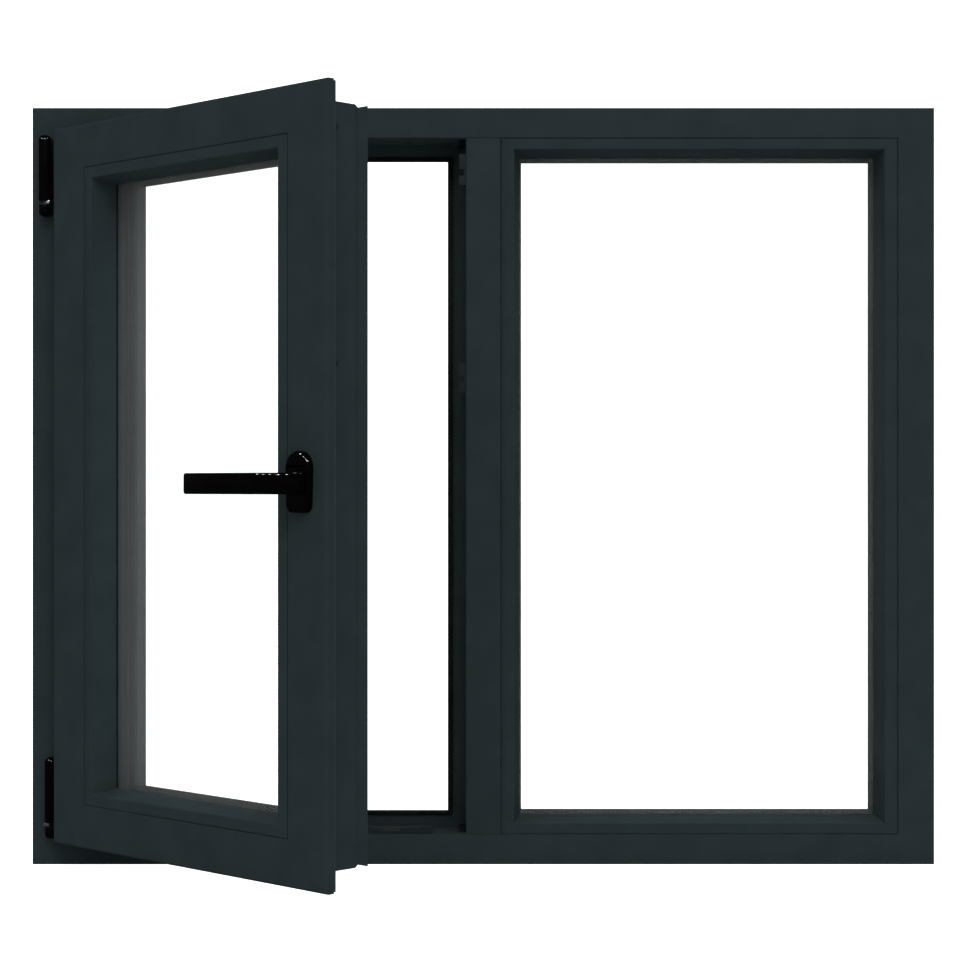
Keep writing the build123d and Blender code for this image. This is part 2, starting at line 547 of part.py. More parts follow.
BEARING_BACK = 3.0
BEARING_GAP = 0.2
BEARING_RADIUS = COVER_RADIUS - COVER_WALL - BEARING_GAP
BEARING_LUG = 30.0
bearing_screws, caps, covers, pins, sash_screws = [], [], [], [], []
for word, height, offset in (("upper", UPPER_HINGE, -COVER_OFFSET), ("lower", LOWER_HINGE, COVER_OFFSET)):
    centre = HINGE_X + offset
    gap_low = height - EYE_HEIGHT / 2 - EYE_GAP
    gap_high = height + EYE_HEIGHT / 2 + EYE_GAP
    cover = rounded_end(d_column(centre, COVER_RADIUS, COVER_DEPTH, gap_high, gap_high + COVER_LENGTH),
                        gap_high + COVER_LENGTH, COVER_ROUND)
    cap = rounded_end(d_column(centre, COVER_RADIUS - CAP_SMALLER, COVER_DEPTH - CAP_SMALLER,
                               gap_low - CAP_LENGTH, gap_low), gap_low - CAP_LENGTH, CAP_ROUND)
    inner = COVER_RADIUS - COVER_WALL
    inner_depth = COVER_DEPTH - COVER_WALL
    cover -= d_column(centre, inner, inner_depth, gap_high - 1, gap_high + COVER_LENGTH - COVER_ROUND)
    cap -= d_column(centre, inner - CAP_SMALLER, inner_depth - CAP_SMALLER,
                    gap_low - CAP_LENGTH + CAP_ROUND - CAP_BOTTOM, gap_low + 1)
    covers.append(cover)
    caps.append(cap)

    cap_lug = d_column(centre, BEARING_RADIUS - CAP_SMALLER, inner_depth - BEARING_GAP - CAP_SMALLER,
                       gap_low - CAP_LENGTH + CAP_ROUND - 1, gap_low)
    cover_lug = d_column(centre, BEARING_RADIUS, inner_depth - BEARING_GAP, gap_high, gap_high + BEARING_LUG)
    plate = box(centre - BEARING_RADIUS + 1, centre + BEARING_RADIUS - 1, ROOM_Y - BEARING_BACK, ROOM_Y,
                gap_low - 1, gap_high + COVER_LENGTH - BEARING_SHORT)
    bearing = cap_lug + cover_lug + plate
    pin_low = gap_low - CAP_LENGTH + CAP_ROUND
    pin = rod((HINGE_X, HINGE_Y, pin_low), (0, 0, 1), PIN_RADIUS, gap_high + BEARING_LUG - 2 - pin_low)
    bearing -= rod((HINGE_X, HINGE_Y, pin_low), (0, 0, 1), PIN_RADIUS + PIN_SEAT, BEARING_LUG + COVER_LENGTH)
    pins.append(pin)
    for level in (gap_high + BEARING_SCREWS[0], gap_high + BEARING_SCREWS[1]):
        start = (centre, ROOM_Y - BEARING_BACK, level)
        bearing_screws.append(screw(start, (0, 1, 0), BEARING_SCREW_LENGTH))
        passage = hole(start, (0, 1, 0), BEARING_SCREW_LENGTH)
        bearing -= passage
        frame["left"] -= passage
        frame_steel["left"] -= passage
    NODES[f"{word}_hinge_bearing"] = bearing

    # strap: eye on the pin, a bar to the flange edge, round behind the flange, leaf on the body's side
    eye = rod((HINGE_X, HINGE_Y, height - EYE_HEIGHT / 2), (0, 0, 1), EYE_RADIUS, EYE_HEIGHT)
    bar = box(HINGE_X, SASH_LEFT, HINGE_Y - 2, HINGE_Y + 2, height - EYE_HEIGHT / 2, height + EYE_HEIGHT / 2)
    strap_low, strap_high = height - STRAP_HEIGHT / 2, height + STRAP_HEIGHT / 2
    side = box(SASH_LEFT - STRAP_THICK, SASH_LEFT, HINGE_Y - 3, FLANGE_Y + STRAP_THICK, strap_low, strap_high)
    behind = box(SASH_LEFT - STRAP_THICK, BODY_LEFT, FLANGE_Y, FLANGE_Y + STRAP_THICK, strap_low, strap_high)
    leaf_low = max(BODY_LOW + 2, strap_low) if word == "lower" else strap_high - LEAF_LENGTH
    leaf = box(BODY_LEFT - STRAP_THICK, BODY_LEFT, FLANGE_Y, FLANGE_Y + LEAF_DEPTH,
               leaf_low, leaf_low + LEAF_LENGTH)
    strap = eye + bar + side + behind + leaf
    strap -= rod((HINGE_X, HINGE_Y, height - EYE_HEIGHT), (0, 0, 1), PIN_RADIUS + PIN_CLEARANCE,
                 2 * EYE_HEIGHT)
    for level in [leaf_low + rise for rise in LEAF_SCREWS]:
        start = (BODY_LEFT - STRAP_THICK, FLANGE_Y + LEAF_SCREW_IN, level)
        sash_screws.append(screw(start, (1, 0, 0), LEAF_SCREW_LENGTH))
        passage = hole(start, (1, 0, 0), LEAF_SCREW_LENGTH)
        strap -= passage
        sash["left"] -= passage
    SASH_NODES[f"{word}_hinge_strap"] = strap

NODES["hinge_covers"] = group(covers)
NODES["hinge_caps"] = group(caps)
NODES["hinge_pins"] = group(pins)

# ---- lock: groove, faceplates, rods, cams
plate_middle = GROOVE_Y - PLATE_FORWARD
PLATE_Y = (plate_middle - PLATE_WIDTH / 2, plate_middle + PLATE_WIDTH / 2)
ROD_Y = (GROOVE_Y - ROD_WIDTH / 2, GROOVE_Y + ROD_WIDTH / 2)
CHANNEL_Y = (ROD_Y[0] - ROD_ROOM, ROD_Y[1] + ROD_ROOM)
PLATE_X = BODY_RIGHT - PLATE_THICK
ROD_OUT_X = PLATE_X - ROD_GAP
ROD_IN_X = ROD_OUT_X - ROD_THICK
CHANNEL_X = PIVOT_X + PITCH_RADIUS - GEAR_MODULE - ROD_ROOM
PLATE_LOW, PLATE_HIGH = BODY_LOW + PLATE_END, BODY_HIGH - PLATE_END
ROD_LOW, ROD_HIGH = BODY_LOW + ROD_START, CAM_HEIGHTS[1] + CAM_RADIUS + ROD_OVER

CAM_SLOT_Y = (GROOVE_Y - CAM_RADIUS - CAM_ROOM, GROOVE_Y + CAM_RADIUS + CAM_ROOM)
face_slot_low = -CAM_RADIUS - CAM_SLOT_END
face_slot_high = ROD_TRAVEL + CAM_RADIUS + CAM_SLOT_END
lock_plate = box(PLATE_X, BODY_RIGHT, *PLATE_Y, PLATE_LOW, PLATE_HIGH)
cams = []
for level in CAM_HEIGHTS:
    lock_plate -= box(PLATE_X - 1, BODY_RIGHT + 1, *CAM_SLOT_Y, level + face_slot_low, level + face_slot_high)
    cam = rod((ROD_OUT_X, GROOVE_Y, level), (1, 0, 0), CAM_RADIUS, BODY_RIGHT + CAM_REACH - ROD_OUT_X)
    cams.append(cam)
sash["right"] -= box(PLATE_X, BODY_RIGHT + 1, *PLATE_Y, PLATE_LOW, PLATE_HIGH)
sash["right"] -= box(CHANNEL_X, PLATE_X, *CHANNEL_Y, PLATE_LOW, PLATE_HIGH)

# slot and countersunk screws along the faceplate's room side
plate_line = PLATE_Y[0] + PLATE_EDGE
slot_wide, slot_tall, slot_deep = PLATE_SLOT
plate_slot = box(PLATE_X - slot_deep, BODY_RIGHT + 1, plate_line - slot_wide / 2, plate_line + slot_wide / 2,
                 PIVOT_HEIGHT - PIVOT_RISE - slot_tall / 2, PIVOT_HEIGHT - PIVOT_RISE + slot_tall / 2)
lock_plate -= plate_slot
sash["right"] -= plate_slot
head_radius, head_deep = PLATE_SCREW_HEAD
for level in (PIVOT_HEIGHT - PLATE_SCREW_BELOW, *[cam_level - PLATE_SCREW_DROP for cam_level in CAM_HEIGHTS]):
    start = (BODY_RIGHT - head_deep, plate_line, level)
    head = rod(start, (1, 0, 0), head_radius, head_deep - HEAD_SUNK)
    sash_screws.append(head + rod(start, (-1, 0, 0), PLATE_SCREW_RADIUS, PLATE_SCREW_LENGTH))
    passage = hole(start, (-1, 0, 0), PLATE_SCREW_LENGTH, PLATE_SCREW_RADIUS)
    lock_plate -= passage + rod(start, (1, 0, 0), head_radius + HOLE_CLEARANCE, head_deep + 1)
    sash["right"] -= passage

BOTTOM_PLATE_X = (BOTTOM_CAM_X - BOTTOM_PLATE_PAST, BODY_RIGHT - PLATE_THICK - BOTTOM_PLATE_SHORT)
PLATE_Z = BODY_LOW + PLATE_THICK
bottom_plate = box(*BOTTOM_PLATE_X, *PLATE_Y, BODY_LOW, PLATE_Z)
bottom_plate -= box(BOTTOM_CAM_X + face_slot_low, BOTTOM_CAM_X + face_slot_high,
                    *CAM_SLOT_Y, BODY_LOW - 1, PLATE_Z + 1)
sash["low"] -= box(*BOTTOM_PLATE_X, *PLATE_Y, BODY_LOW - 1, PLATE_Z)
BOTTOM_ROD_Z = (PLATE_Z + ROD_GAP, PLATE_Z + ROD_GAP + ROD_THICK)
sash["low"] -= box(BOTTOM_PLATE_X[0] + 2, BOTTOM_PLATE_X[1], *CHANNEL_Y, PLATE_Z, BOTTOM_ROD_Z[1] + ROD_ROOM)
bottom_rod = box(BOTTOM_CAM_X - BOTTOM_ROD_SPAN[0], BOTTOM_CAM_X + BOTTOM_ROD_SPAN[1], *ROD_Y, *BOTTOM_ROD_Z)
bottom_cam = rod((BOTTOM_CAM_X, GROOVE_Y, BOTTOM_ROD_Z[0]), (0, 0, -1), CAM_RADIUS,
                 BOTTOM_ROD_Z[0] - BODY_LOW + BOTTOM_CAM_REACH)
SASH_NODES["sash_hardware_screws"] = group(sash_screws)
SASH_NODES["lock_faceplate"] = lock_plate
SASH_NODES["bottom_faceplate"] = bottom_plate
corner_drive = box(ROD_IN_X, ROD_OUT_X, *ROD_Y, PLATE_LOW + 1, PLATE_LOW + CORNER_LEG)
SASH_NODES["corner_drive"] = corner_drive


# ---- gear: pinion on the spindle, rack cut in the lock rod
def involute(base, angle):
    """A point of the involute of a circle."""
    return (base * (math.cos(angle) + angle * math.sin(angle)),
            base * (math.sin(angle) - angle * math.cos(angle)))


def turned(point, angle):
    """A flat point turned about the origin."""
    c, s = math.cos(angle), math.sin(angle)
    return (point[0] * c - point[1] * s, point[0] * s + point[1] * c)


def pinion_outline():
    """Involute teeth, the first one pointing along the first axis."""
    pressure = math.radians(PRESSURE_ANGLE)
    base = PITCH_RADIUS * math.cos(pressure)
    tip = PITCH_RADIUS + GEAR_MODULE * ADDENDUM
    root = PITCH_RADIUS - GEAR_MODULE * DEDENDUM
    half_tooth = (math.pi * GEAR_MODULE - BACKLASH) / 4 / PITCH_RADIUS
    at_pitch = math.tan(pressure) - pressure
    last = math.sqrt((tip / base) ** 2 - 1)
    points = []
    for tooth in range(GEAR_TEETH):
        centre = 2 * math.pi * tooth / GEAR_TEETH
        flank = [(root, 0.0)] + [involute(base, last * step / FLANK_STEPS) for step in range(FLANK_STEPS + 1)]
        rising = [turned(p, centre - half_tooth - at_pitch) for p in flank]
        falling = [turned((p[0], -p[1]), centre + half_tooth + at_pitch) for p in reversed(flank)]
        points += rising + falling
    return points


pinion_points = [(PIVOT_X + p, PIVOT_HEIGHT + q) for p, q in pinion_outline()]
gear_y = (GROOVE_Y - GEAR_THICK / 2, GROOVE_Y + GEAR_THICK / 2)
pinion = along(pinion_points, "Y", *gear_y)
square = SPINDLE / 2
pinion -= box(PIVOT_X - square - SQUARE_FIT, PIVOT_X + square + SQUARE_FIT, gear_y[0] - 1, gear_y[1] + 1,
              PIVOT_HEIGHT - square - SQUARE_FIT, PIVOT_HEIGHT + square + SQUARE_FIT)

# rack: teeth from the pitch line, a space facing the pinion's first tooth
pitch_x = PIVOT_X + PITCH_RADIUS
tooth_pitch = math.pi * GEAR_MODULE
slope = math.tan(math.radians(PRESSURE_ANGLE))
rack_tip_x = pitch_x - GEAR_MODULE * ADDENDUM
lock_rod = box(ROD_IN_X, ROD_OUT_X, *ROD_Y, ROD_LOW, ROD_HIGH)
for number in range(-RACK_BEFORE, RACK_AFTER):
    level = PIVOT_HEIGHT + (number + 0.5) * tooth_pitch
    wide = tooth_pitch / 4 - BACKLASH / 4 + slope * (ROD_IN_X - pitch_x)
    narrow = tooth_pitch / 4 - BACKLASH / 4 - slope * (pitch_x - rack_tip_x)
    tooth = [(ROD_IN_X + TOOTH_ROOT, level - wide), (rack_tip_x, level - narrow),
             (rack_tip_x, level + narrow), (ROD_IN_X + TOOTH_ROOT, level + wide)]
    lock_rod += along(tooth, "Y", *gear_y)

# ---- gearbox case, let into the lock stile
CASE_BACK_X = PIVOT_X - PITCH_RADIUS - GEAR_MODULE - CASE_BACK
CASE_FRONT_X = ROD_IN_X - ROD_GAP
case_y = (gear_y[0] - CASE_WALL, gear_y[1] + CASE_WALL)
case = box(CASE_BACK_X, CASE_FRONT_X, *case_y, PIVOT_HEIGHT - CASE_HEIGHT / 2, PIVOT_HEIGHT + CASE_HEIGHT / 2)
case -= rod((PIVOT_X, gear_y[0] - GEAR_ROOM, PIVOT_HEIGHT), (0, 1, 0), PITCH_RADIUS + GEAR_MODULE + ROD_ROOM,
            GEAR_THICK + 2 * GEAR_ROOM)
case -= rod((PIVOT_X, case_y[0] - 1, PIVOT_HEIGHT), (0, 1, 0), CASE_BORE, case_y[1] - case_y[0] + 2)
case -= box(rack_tip_x - GEAR_ROOM, CASE_FRONT_X + 1, gear_y[0] - GEAR_ROOM, gear_y[1] + GEAR_ROOM,
            PIVOT_HEIGHT - CASE_HEIGHT / 2 - 1, PIVOT_HEIGHT + CASE_HEIGHT / 2 + 1)
pocket = box(CASE_BACK_X - POCKET_GAP, PLATE_X, case_y[0] - POCKET_GAP, case_y[1] + POCKET_GAP,
             PIVOT_HEIGHT - CASE_HEIGHT / 2 - POCKET_GAP, PIVOT_HEIGHT + CASE_HEIGHT / 2 + POCKET_GAP)
sash["right"] -= pocket
sash_steel["right"] -= pocket
sash["right"] -= rod((PIVOT_X, SASH_Y - 1, PIVOT_HEIGHT), (0, 1, 0), SPINDLE_HOLE, case_y[0] - SASH_Y + 1)

# ---- handle: base plate, rosette cover, screws, lever, spindle
half_w, half_h = ROSETTE_WIDTH / 2, ROSETTE_HEIGHT / 2
low_z, high_z = PIVOT_HEIGHT - half_h + ROSETTE_RISE, PIVOT_HEIGHT + half_h + ROSETTE_RISE


def rosette_body(inset, proud):
    """The rosette's outline, in by an inset, standing off the sash: half-round top, rounded bottom corners."""
    top = high_z - half_w
    foot = half_w - ROSETTE_TAPER - inset
    points = [(PIVOT_X - foot, low_z + inset), (PIVOT_X + foot, low_z + inset),
              (PIVOT_X + half_w - inset, top), (PIVOT_X - half_w + inset, top)]
    body = along(points, "Y", SASH_Y - proud, SASH_Y, {0: ROSETTE_CORNER - inset, 1: ROSETTE_CORNER - inset})
    return body + rod((PIVOT_X, SASH_Y - proud, top), (0, 1, 0), half_w - inset, proud)


base_plate = rosette_body(ROSETTE_WALL + LEVER_GAP, BASE_PLATE_THICK)
base_plate -= rod((PIVOT_X, SASH_Y - BASE_PLATE_THICK - 1, PIVOT_HEIGHT), (0, 1, 0), SPINDLE_HOLE,
                  BASE_PLATE_THICK + 2)
handle_screws = []
for way in (-1, 1):
    start = (PIVOT_X, SASH_Y - BASE_PLATE_THICK, PIVOT_HEIGHT + way * HANDLE_SCREW_SPACING / 2)
    handle_screws.append(screw(start, (0, 1, 0), BASE_PLATE_THICK + case_y[1] - SASH_Y - 1, HANDLE_SCREW))
    passage = hole(start, (0, 1, 0), BASE_PLATE_THICK + case_y[1] - SASH_Y - 1, HANDLE_SCREW)
    base_plate -= passage
    case -= passage
    sash["right"] -= passage

rosette = rosette_body(0, ROSETTE_PROUD)
front_edges = [e for e in rosette.edges() if abs(e.bounding_box().max.Y - (SASH_Y - ROSETTE_PROUD)) < HAIR
               and abs(e.bounding_box().min.Y - (SASH_Y - ROSETTE_PROUD)) < HAIR]
rosette = fillet(front_edges, ROSETTE_RIM)
rosette -= rosette_body(ROSETTE_WALL, ROSETTE_PROUD - ROSETTE_FACE)
rosette -= rod((PIVOT_X, SASH_Y - ROSETTE_PROUD - 1, PIVOT_HEIGHT), (0, 1, 0), NECK_RADIUS + LEVER_GAP,
               ROSETTE_PROUD + 2)

# the lever leaves the rosette wide, bends through a right angle and thins to the grip
foot_y = SASH_Y - ROSETTE_PROUD - LEVER_GAP
grip_y = (SASH_Y - LEVER_PROUD, SASH_Y - LEVER_PROUD + LEVER_THICK)
foot_x = (PIVOT_X - LEVER_FOOT / 2, PIVOT_X + LEVER_FOOT / 2)
lever_points = [(foot_x[1], foot_y), (foot_x[1], grip_y[0]), (PIVOT_X - LEVER_LENGTH, grip_y[0]),
                (PIVOT_X - LEVER_LENGTH, grip_y[1]), (foot_x[0], grip_y[1]), (foot_x[0], foot_y)]
lever = along(lever_points, "Z", PIVOT_HEIGHT - LEVER_HEIGHT / 2, PIVOT_HEIGHT + LEVER_HEIGHT / 2,
              {1: LEVER_BEND, 2: LEVER_EDGE, 3: LEVER_EDGE, 4: LEVER_BEND - LEVER_THICK})
lever_rims = [e for e in lever.edges() if abs(e.bounding_box().size.Z) < HAIR and e.center().Y < foot_y - HAIR]
lever = fillet(lever_rims, LEVER_EDGE)
lever += rod((PIVOT_X, foot_y - 1, PIVOT_HEIGHT), (0, 1, 0), NECK_RADIUS,
             SASH_Y - BASE_PLATE_THICK - LEVER_GAP - foot_y + 1)
spindle_y = (grip_y[1] + SPINDLE_SHORT, gear_y[1] + SPINDLE_PAST)
lever -= box(PIVOT_X - square - SQUARE_FIT, PIVOT_X + square + SQUARE_FIT, spindle_y[0], spindle_y[1] + 1,
             PIVOT_HEIGHT - square - SQUARE_FIT, PIVOT_HEIGHT + square + SQUARE_FIT)
spindle = box(PIVOT_X - square, PIVOT_X + square, *spindle_y, PIVOT_HEIGHT - square, PIVOT_HEIGHT + square)


# ---- keeps on the mullion and the sill
def mullion_keep(level, below, above):
    """A keep with a room-side lip on both sides of the slot that lets the cam in."""
    lip_front = CAM_SLOT_Y[0] - KEEP_LIP
    base = box(MULLION_LEFT - KEEP_BASE, MULLION_LEFT, lip_front, GROOVE_Y + KEEP_BACK, level - below,
               level + above)
    lip = box(MULLION_LEFT - KEEP_REACH, MULLION_LEFT, lip_front, lip_front + KEEP_LIP,
              level - below, level + above)
    lip -= box(MULLION_LEFT - KEEP_REACH - 1, MULLION_LEFT - KEEP_BASE, lip_front - 1, lip_front + KEEP_LIP + 1,
               level - KEEP_SLOT / 2, level + KEEP_SLOT / 2)
    return base + lip


keep_screws = []
for word, level, (below, above) in (("middle", CAM_HEIGHTS[0], MIDDLE_KEEP), ("top", CAM_HEIGHTS[1], TOP_KEEP)):
    keep = mullion_keep(level, below, above)
    for place in (level - below + KEEP_SCREW_END, level + above - KEEP_SCREW_END):
        start = (MULLION_LEFT - KEEP_BASE, GROOVE_Y + KEEP_SCREW_BACK, place)
        keep_screws.append(screw(start, (1, 0, 0), KEEP_SCREW_LENGTH))
        passage = hole(start, (1, 0, 0), KEEP_SCREW_LENGTH)
        keep -= passage
        mullion -= passage
        mullion_steel -= passage
    NODES[f"keep_{word}"] = keep

lip_front = CAM_SLOT_Y[0] - KEEP_LIP
sill_x = (BOTTOM_CAM_X - SILL_KEEP_LENGTH / 2, BOTTOM_CAM_X + SILL_KEEP_LENGTH / 2)
sill_keep = box(*sill_x, lip_front, GROOVE_Y + SILL_KEEP_BACK, REBATE_LOW, REBATE_LOW + SILL_KEEP_BASE)
sill_keep += box(*sill_x, lip_front, lip_front + KEEP_LIP, REBATE_LOW, REBATE_LOW + SILL_KEEP_REACH)
sill_keep -= box(BOTTOM_CAM_X - SILL_KEEP_SLOT / 2, BOTTOM_CAM_X + SILL_KEEP_SLOT / 2, lip_front - 1,
                 lip_front + KEEP_LIP + 1, REBATE_LOW + SILL_KEEP_BASE, HEIGHT)
for across in (sill_x[0] + SILL_KEEP_SCREW_END, sill_x[1] - SILL_KEEP_SCREW_END):
    start = (across, GROOVE_Y + SILL_KEEP_SCREW_BACK, REBATE_LOW + SILL_KEEP_BASE)
    keep_screws.append(screw(start, (0, 0, -1), KEEP_SCREW_LENGTH))
    passage = hole(start, (0, 0, -1), KEEP_SCREW_LENGTH)
    sill_keep -= passage
    frame["low"] -= passage
    frame_steel["low"] -= passage
NODES["keep_sill"] = sill_keep
NODES["frame_hardware_screws"] = group(bearing_screws + keep_screws)

corner_blocks = []
block_y = (ROOM_Y + BLOCK_SPAN[0], ROOM_Y + BLOCK_SPAN[1])
for low, high in ((REBATE_LOW, REBATE_LOW + BLOCK_RISE), (REBATE_HIGH - BLOCK_RISE, REBATE_HIGH)):
    corner_blocks.append(box(MULLION_LEFT - KEEP_REACH, MULLION_LEFT, *block_y, low, high))
NODES["rebate_corner_blocks"] = group(corner_blocks)

# ---- collect the nodes
NODES["frame_head"] = frame["high"]
NODES["frame_sill"] = frame["low"]
NODES["frame_left_jamb"] = frame["left"]
NODES["frame_right_jamb"] = frame["right"]
NODES["mullion"] = mullion
NODES["frame_reinforcement"] = group([*frame_steel.values(), mullion_steel])
NODES["mullion_connectors"] = group(connectors)
NODES["mullion_screws"] = group(connector_screws)
SASH_NODES["sash_top_rail"] = sash["high"]
SASH_NODES["sash_bottom_rail"] = sash["low"]
SASH_NODES["sash_hinge_stile"] = sash["left"]
SASH_NODES["sash_lock_stile"] = sash["right"]
SASH_NODES["sash_reinforcement"] = group(sash_steel.values())
SASH_NODES["gearbox_case"] = case
SASH_NODES["handle_base_plate"] = base_plate
SASH_NODES["handle_rosette"] = rosette
SASH_NODES["handle_screws"] = group(handle_screws)
SASH_NODES["handle_lever"] = lever
SASH_NODES["handle_spindle"] = spindle
SASH_NODES["drive_pinion"] = pinion
SASH_NODES["lock_rod"] = lock_rod
SASH_NODES["lock_cams"] = group(cams)
SASH_NODES["bottom_rod"] = bottom_rod
SASH_NODES["bottom_cam"] = bottom_cam

for name, shape in NODES.items():
    export_step(shape, f"parts/{name}.step")
for name, shape in SASH_NODES.items():
    export_step(shape.rotate(HINGE_AXIS, -OPEN_ANGLE), f"parts/{name}.step")
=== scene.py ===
# %% [markdown]
# # A two-light casement window
#
# The window is a fixed light beside a sash that opens into the room. The working model is loaded
# first and never changes. Every piece below is made at its place round that model, in metres, with
# X to the right, Y away from the room and Z up.

import json
import math

import bpy
from mathutils import Matrix, Vector


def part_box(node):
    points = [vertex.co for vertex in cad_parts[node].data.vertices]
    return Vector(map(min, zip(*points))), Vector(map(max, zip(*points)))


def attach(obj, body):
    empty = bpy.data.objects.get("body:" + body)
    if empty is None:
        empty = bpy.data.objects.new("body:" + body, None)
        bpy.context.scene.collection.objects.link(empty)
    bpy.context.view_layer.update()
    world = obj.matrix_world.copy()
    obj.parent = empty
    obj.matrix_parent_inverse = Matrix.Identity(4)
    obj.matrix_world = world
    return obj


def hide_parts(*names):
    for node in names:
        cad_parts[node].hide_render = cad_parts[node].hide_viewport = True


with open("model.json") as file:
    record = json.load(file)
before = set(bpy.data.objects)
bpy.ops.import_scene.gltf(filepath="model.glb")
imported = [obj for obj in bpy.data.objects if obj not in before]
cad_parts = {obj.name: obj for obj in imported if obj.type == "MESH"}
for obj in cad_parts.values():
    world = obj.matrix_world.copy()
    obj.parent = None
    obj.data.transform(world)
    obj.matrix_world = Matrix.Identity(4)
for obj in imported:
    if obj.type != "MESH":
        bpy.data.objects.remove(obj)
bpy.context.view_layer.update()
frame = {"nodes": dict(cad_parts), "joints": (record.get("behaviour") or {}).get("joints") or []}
MM = 0.001

# %% [markdown]
# The sash is stored part open. Its handle is easier to make with the sash shut, where everything
# lies square to the axes, and then to turn with the sash. The hinge line and the turn are read from
# the model's joint, whose lower limit is the shut sash.

# %% The turn from shut to the stored opening
turn = next(joint for joint in frame["joints"] if joint["name"] == "sash_turn")
hinge_line = Vector(turn["pos_m"])
opening = math.radians(turn["range_deg"][0])
SHUT_TO_OPEN = (Matrix.Translation(hinge_line) @ Matrix.Rotation(opening, 4, "Z")
                @ Matrix.Translation(-hinge_line))
OPEN_TO_SHUT = SHUT_TO_OPEN.inverted()
print("opening in degrees", round(math.degrees(-opening), 1))


# %% [markdown]
# An operator works on whatever is selected, and the loaded nodes start out selected. So each new
# piece begins with nothing selected. Edges and faces are then picked by where they lie or which way
# they face, as a hand would pick them with the mouse. Each piece ends at the origin with its place
# in its mesh, because its finish is laid out from the origin.

# %% Small helpers for selecting, and for finishing a shape
HAIR = 0.01 * MM


def clear_selection():
    """Nothing selected, in object mode."""
    if bpy.context.object and bpy.context.object.mode != "OBJECT":
        bpy.ops.object.mode_set(mode="OBJECT")
    bpy.ops.object.select_all(action="DESELECT")


def pick(piece):
    """Only this piece selected and active."""
    clear_selection()
    piece.select_set(True)
    bpy.context.view_layer.objects.active = piece


def corners(mesh, item):
    """The places of the corners of an edge or a face."""
    return [mesh.vertices[number].co for number in item.vertices]


def select_where(piece, kind, test):
    """In edit mode, selects the vertices, edges or faces that pass a test, and says how many."""
    bpy.ops.mesh.select_mode(type=kind)
    bpy.ops.mesh.select_all(action="DESELECT")
    bpy.ops.object.mode_set(mode="OBJECT")
    mesh = piece.data
    chosen = 0
    items = {"VERT": mesh.vertices, "EDGE": mesh.edges, "FACE": mesh.polygons}[kind]
    for item in items:
        item.select = bool(test(mesh, item))
        chosen += item.select
    bpy.ops.object.mode_set(mode="EDIT")
    return chosen


def turn_faces_out():
    """In edit mode, makes every face of the piece point outwards, and leaves edit mode."""
    bpy.ops.mesh.select_all(action="SELECT")
    bpy.ops.mesh.normals_make_consistent(inside=False)
    bpy.ops.object.mode_set(mode="OBJECT")


def finish_shape(piece, name, material, body, nodes, angle):
    """Names a piece, smooths it below an angle and gives it its finish.

    It also hides the nodes that it stands for and hangs it on its body.
    """
    pick(piece)
    bpy.ops.object.transform_apply(location=True, rotation=True, scale=True)
    bpy.ops.object.shade_smooth_by_angle(angle=math.radians(angle))
    piece.name = name
    piece.data.name = name
    piece.data.materials.clear()
    piece.data.materials.append(material)
    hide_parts(*nodes)
    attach(piece, body)
    return piece


# %% [markdown]
# ## Finishes
#
# A finish is built from a few shader nodes. One function turns a hex colour into the linear values
# that a shader works in, and one adds a node with its settings and its links.

# %% Colour and node helpers
def linear(hex_colour):
    """An sRGB hex colour as linear red, green, blue and a full alpha."""
    values = [int(hex_colour[i:i + 2], 16) / 255 for i in (1, 3, 5)]
    return [v / 12.92 if v <= 0.04045 else ((v + 0.055) / 1.055) ** 2.4 for v in values] + [1.0]


def add(tree, kind, settings=None, links=None):
    """A node with settings by name, and links into its inputs from other nodes' outputs.

    An input is given by its name, or by its number where two inputs have the same name.
    """
    node = tree.nodes.new(kind)
    for key, value in (settings or {}).items():
        if key in node.inputs:
            node.inputs[key].default_value = value
        else:
            setattr(node, key, value)
    for key, (source, output) in (links or {}).items():
        tree.links.new(source.outputs[output], node.inputs[key])
    return node


def new_material(name):
    """An empty material with its node tree."""
    material = bpy.data.materials.new(name)
    material.use_nodes = True
    material.node_tree.nodes.clear()
    return material, material.node_tree


# %% [markdown]
# Nearly every finish here is the same idea with other numbers. No real surface is one flat colour:
# it drifts between two close shades, its roughness drifts with it, and it has a fine relief. Noise
# of a real size drives the first two, and a finer noise drives the relief, as a bump that bends the
# light and leaves the shape alone.

# %% A solid finish with drift and relief
DARK_END, LIGHT_END = 0.3, 0.7


def shaded(name, dark, light, grain, bump, bump_grain, bump_depth, rough, **settings):
    """A finish between two colours and two roughnesses, mixed by noise, with a fine relief.

    grain, bump_grain and bump_depth are real sizes: of a blotch, of a ripple and of its height.
    """
    material, tree = new_material(name)
    place = add(tree, "ShaderNodeTexCoord")
    noise = add(tree, "ShaderNodeTexNoise", {"Scale": 1 / grain, "Detail": 3.0},
                {"Vector": (place, "Object")})
    ramp = add(tree, "ShaderNodeValToRGB", links={"Fac": (noise, "Fac")})
    for end, position, colour in ((0, DARK_END, dark), (1, LIGHT_END, light)):
        ramp.color_ramp.elements[end].position = position
        ramp.color_ramp.elements[end].color = linear(colour)
    spread = add(tree, "ShaderNodeMapRange", {"To Min": rough[0], "To Max": rough[1]},
                 {"Value": (noise, "Fac")})
    ripple = add(tree, "ShaderNodeTexNoise", {"Scale": 1 / bump_grain, "Detail": 2.0},
                 {"Vector": (place, "Object")})
    relief = add(tree, "ShaderNodeBump", {"Strength": bump, "Distance": bump_depth},
                 {"Height": (ripple, "Fac")})
    surface = add(tree, "ShaderNodeBsdfPrincipled", settings,
                  {"Base Color": (ramp, "Color"), "Roughness": (spread, "Result"),
                   "Normal": (relief, "Normal")})
    add(tree, "ShaderNodeOutputMaterial", links={"Surface": (surface, "BSDF")})
    return material


